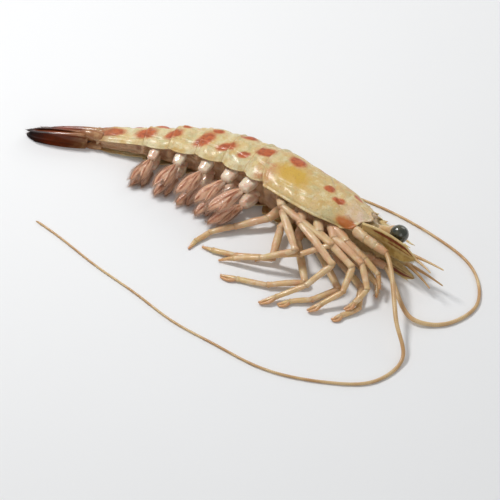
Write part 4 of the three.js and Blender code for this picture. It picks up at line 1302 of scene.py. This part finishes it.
def uropod(side, name, look, material):
    """The fan's two blades on one side, folded down beside the telson, with ribs and a fringe, and their joint."""
    up = direction(TAIL, 1, 0)
    out = np.array([0, 0, float(side)])
    skin = Skin("along", "rib", "margin")
    root = spline([at(TAIL + 3, -1.5, side * 2), at(TAIL - 2.5, -1.8, side * 3.6), at(TAIL - 6.5, -2, side * 3.9)], 30)
    t = np.linspace(0, 1, 30)
    wide = (2.4 - 0.5 * t) * round_end(1 - t, 0.45, 0.02) * (1 - 0.06 * bell(t - 0.6, 0.08))
    points = tube(root, wide, wide * 0.86, 32, (0, 0, 1))
    groove = 0.16 * bell(np.sin(turns(32) / 2 - 0.9), 0.16) * smooth(0.2, 0.5, t)[:, None]
    points = points + (points.mean(axis=1, keepdims=True) - points) * groove[..., None]
    skin.grid(settle(points), closed=True, along=0.16 + 0.2 * t[:, None] ** 2, rib=0.3 - groove)
    for leaf in UROPOD_BLADES:
        normal = up * math.cos(leaf["turn"]) + out * math.sin(leaf["turn"])
        (s0, up0, side0), (s1, up1, side1) = leaf["base"], leaf["tip"]
        base, tip = at(TAIL + s0, up0, side * side0), at(TAIL + s1, up1, side * side1)
        outward = np.sign(np.dot(np.cross(tip - base, normal), out + up * -0.6))

        def relief(t, v):
            """A rib along the middle and one along the outer margin, a hollow between them, and fine ribs."""
            x = v * outward
            ribs = 0.42 * bell(x - 0.12, 0.09) + leaf["rib"] * bell(x - 0.88, 0.12)
            return ribs * (1 - 0.7 * t) - 0.18 * bell(x - 0.34, 0.14) + 0.04 * np.cos(30 * x) * smooth(0.1, 0.3, t)

        points, t, v = blade(base, tip, leaf["width"], 1.25, normal, leaf_outline(0.5, 0.5, 0.16), relief, rows=84,
                             sides=60, bow=0.45, cup=0.5)
        points = settle(points)
        x = v * outward
        rib = (bell(x - 0.12, 0.12) + bell(x - 0.88, 0.12)) * (1 - 0.6 * t)
        skin.grid(points, closed=True, along=0.14 + 0.9 * t, rib=rib, margin=smooth(0.72, 1, np.abs(v)))
        for column in (np.argmax(v[0]), np.argmin(v[0])):
            if leaf["bare"] and x[0, column] > 0:
                continue
            edge, middle = spread(points[18:, column], 170), spread(points[18:].mean(axis=1), 170)
            fringe(skin, edge, unit(edge - middle), look.bristles / MM, 0.045, 16, lean=1.6, along=0.8)
    return skin.make(f"tail_blades_{name}", material, "tail_fan")


# ---------------------------------------------------------------- stage

# Each light's place, size, the setting that gives its power, and its share of that power.
LIGHTS = {
    "key": ((-0.3, 0.12, 0.55), 0.14, "key", 1),
    "fill": ((0.45, -0.55, 0.4), 0.5, "fill", 1),
    "back": ((0.2, 0.6, 0.35), 0.4, "fill", 0.8),
}
LIGHT_AIM = (0.005, 0.0, 0.01)
SKY = (0.96, 0.98, 1, 1)
FLOOR_REACH = 1.5
# The camera stands to the right and looks down, at a point by (right, up) in mm from the prawn's middle.
CAMERA_TURN, CAMERA_TILT = math.radians(22.4), math.radians(45.2)
CAMERA_SHIFT = (9.3, 0.7)


def face(thing, target, location):
    """Places a light or the camera so that it looks from its location at a target."""
    thing.location = location
    way = mathutils.Vector(location) - mathutils.Vector(target)
    thing.rotation_euler = way.to_track_quat("Z", "Y").to_euler()


def stage(look):
    """A plain pale floor, a key light, a fill and a back light, an even sky, and the camera."""
    made = Finish("stage_floor")
    grain = made.noise(40, 2)
    material = made.finished(made.paint(look.floor, (grain * 0.04, (1, 1, 1))), 0.75, (grain, 0.02))
    mesh = bpy.data.meshes.new("stage_floor")
    corners = [(x * FLOOR_REACH, y * FLOOR_REACH, 0) for x, y in ((-1, -1), (1, -1), (1, 1), (-1, 1))]
    mesh.from_pydata(corners, [], [(0, 1, 2, 3)])
    mesh.materials.append(material)
    place("stage_floor", mesh)

    for name, (location, size, setting, share) in LIGHTS.items():
        light = bpy.data.lights.new(name, "AREA")
        light.energy, light.shape, light.size = getattr(look, setting) * share, "DISK", size
        face(place(name, light), LIGHT_AIM, location)
    world = bpy.data.worlds.new("sky")
    world.use_nodes = True
    background = world.node_tree.nodes["Background"]
    background.inputs["Color"].default_value = SKY
    background.inputs["Strength"].default_value = look.sky
    scene = bpy.context.scene
    scene.world = world
    scene.view_settings.view_transform = "Standard"

    right = np.array([math.cos(CAMERA_TURN), math.sin(CAMERA_TURN), 0])
    level = math.cos(CAMERA_TILT)
    back = np.array([math.sin(CAMERA_TURN) * level, -math.cos(CAMERA_TURN) * level, math.sin(CAMERA_TILT)])
    middle = (right * CAMERA_SHIFT[0] + np.cross(back, right) * CAMERA_SHIFT[1]) * MM
    scene.camera = place("camera", bpy.data.cameras.new("camera"))
    scene.camera.data.lens = look.lens
    scene.camera.data.sensor_width = 36
    face(scene.camera, middle, middle + back * look.distance)


# ---------------------------------------------------------------- operators, panel and registration

SIDES = ((1, "right"), (-1, "left"))


class Maker:
    """What all operators share."""
    bl_options = {"REGISTER", "UNDO"}


class PRAWN_OT_shell(Maker, bpy.types.Operator):
    """Make the carapace, the rostrum and the abdomen's six plates"""
    bl_idname = "prawn.shell"
    bl_label = "Shell"

    def execute(self, context):
        look = context.scene.prawn.shell
        material = shell_finish(look)
        carapace(look, material)
        rostrum(material)
        for index in range(len(SEGMENTS)):
            abdomen_plate(look, material, index)
        return {"FINISHED"}


class PRAWN_OT_flesh(Maker, bpy.types.Operator):
    """Make the belly and the front of the head under the shell"""
    bl_idname = "prawn.flesh"
    bl_label = "Flesh"

    def execute(self, context):
        material = flesh_finish(context.scene.prawn.flesh)
        flesh(material)
        snout(material)
        return {"FINISHED"}


class PRAWN_OT_head(Maker, bpy.types.Operator):
    """Make the eyes, the short feelers with their stems, and the blades beside the snout"""
    bl_idname = "prawn.head"
    bl_label = "Head"

    def execute(self, context):
        look = context.scene.prawn
        limbs, feelers = limb_and_feeler(look)
        eyes, blades = eye_finish(look.head), head_blade_finish(look.head)
        for side, name in SIDES:
            eye(side, name, eyes, limbs)
            antennule(side, name, look.limbs, limbs, feelers)
            head_blade(side, name, look.head, blades)
        return {"FINISHED"}


class PRAWN_OT_feelers(Maker, bpy.types.Operator):
    """Make the two long feelers and their stems"""
    bl_idname = "prawn.feelers"
    bl_label = "Long feelers"

    def execute(self, context):
        look = context.scene.prawn
        limbs, feelers = limb_and_feeler(look)
        for side, name in SIDES:
            long_feeler(side, name, look.feelers, limbs, feelers)
        return {"FINISHED"}


class PRAWN_OT_legs(Maker, bpy.types.Operator):
    """Make the ten walking legs and the two leg-like mouthparts"""
    bl_idname = "prawn.legs"
    bl_label = "Legs"

    def execute(self, context):
        look = context.scene.prawn.limbs
        material = made_once("prawn_limb", limb_finish, look)
        for name in LEGS:
            leg(name, look, material)
        for name in MOUTHPARTS:
            mouthpart(name, look, material)
        return {"FINISHED"}


class PRAWN_OT_swimmerets(Maker, bpy.types.Operator):
    """Make the five pairs of swimmerets"""
    bl_idname = "prawn.swimmerets"
    bl_label = "Swimmerets"

    def execute(self, context):
        look = context.scene.prawn.swimmerets
        material = swimmeret_finish(look)
        for index in range(5):
            for side, name in SIDES:
                swimmeret(index, side, name, look, material)
        return {"FINISHED"}


class PRAWN_OT_tail(Maker, bpy.types.Operator):
    """Make the telson and the fan's folded blades"""
    bl_idname = "prawn.tail"
    bl_label = "Tail fan"

    def execute(self, context):
        look = context.scene.prawn.tail
        material = tail_finish(look)
        telson(look, material)
        for side, name in SIDES:
            uropod(side, name, look, material)
        return {"FINISHED"}


class PRAWN_OT_stage(Maker, bpy.types.Operator):
    """Make the floor, the lights, the sky and the camera"""
    bl_idname = "prawn.stage"
    bl_label = "Stage"

    def execute(self, context):
        stage(context.scene.prawn.stage)
        return {"FINISHED"}


OPERATORS = (PRAWN_OT_shell, PRAWN_OT_flesh, PRAWN_OT_head, PRAWN_OT_feelers, PRAWN_OT_legs, PRAWN_OT_swimmerets,
             PRAWN_OT_tail, PRAWN_OT_stage)


class PRAWN_PT_panel(bpy.types.Panel):
    """Lists the prawn's groups of pieces"""
    bl_idname = "PRAWN_PT_panel"
    bl_label = "Raw prawn"
    bl_space_type = "VIEW_3D"
    bl_region_type = "UI"
    bl_category = "Prawn"

    def draw(self, context):
        for operator in OPERATORS:
            self.layout.operator(operator.bl_idname)


LOOKS = (ShellLook, FleshLook, LimbLook, SwimmeretLook, HeadLook, TailLook, FeelerLook, StageLook, PrawnLook)


def register():
    """Registers the settings, the operators and the panel."""
    for made in (*LOOKS, *OPERATORS, PRAWN_PT_panel):
        bpy.utils.register_class(made)
    bpy.types.Scene.prawn = bpy.props.PointerProperty(type=PrawnLook)


def unregister():
    """Takes them out again."""
    del bpy.types.Scene.prawn
    for made in reversed((*LOOKS, *OPERATORS, PRAWN_PT_panel)):
        bpy.utils.unregister_class(made)


def main():
    """Makes everything."""
    register()
    for operator in OPERATORS:
        getattr(bpy.ops.prawn, operator.bl_idname.split(".")[1])()


if __name__ == "__main__":
    main()
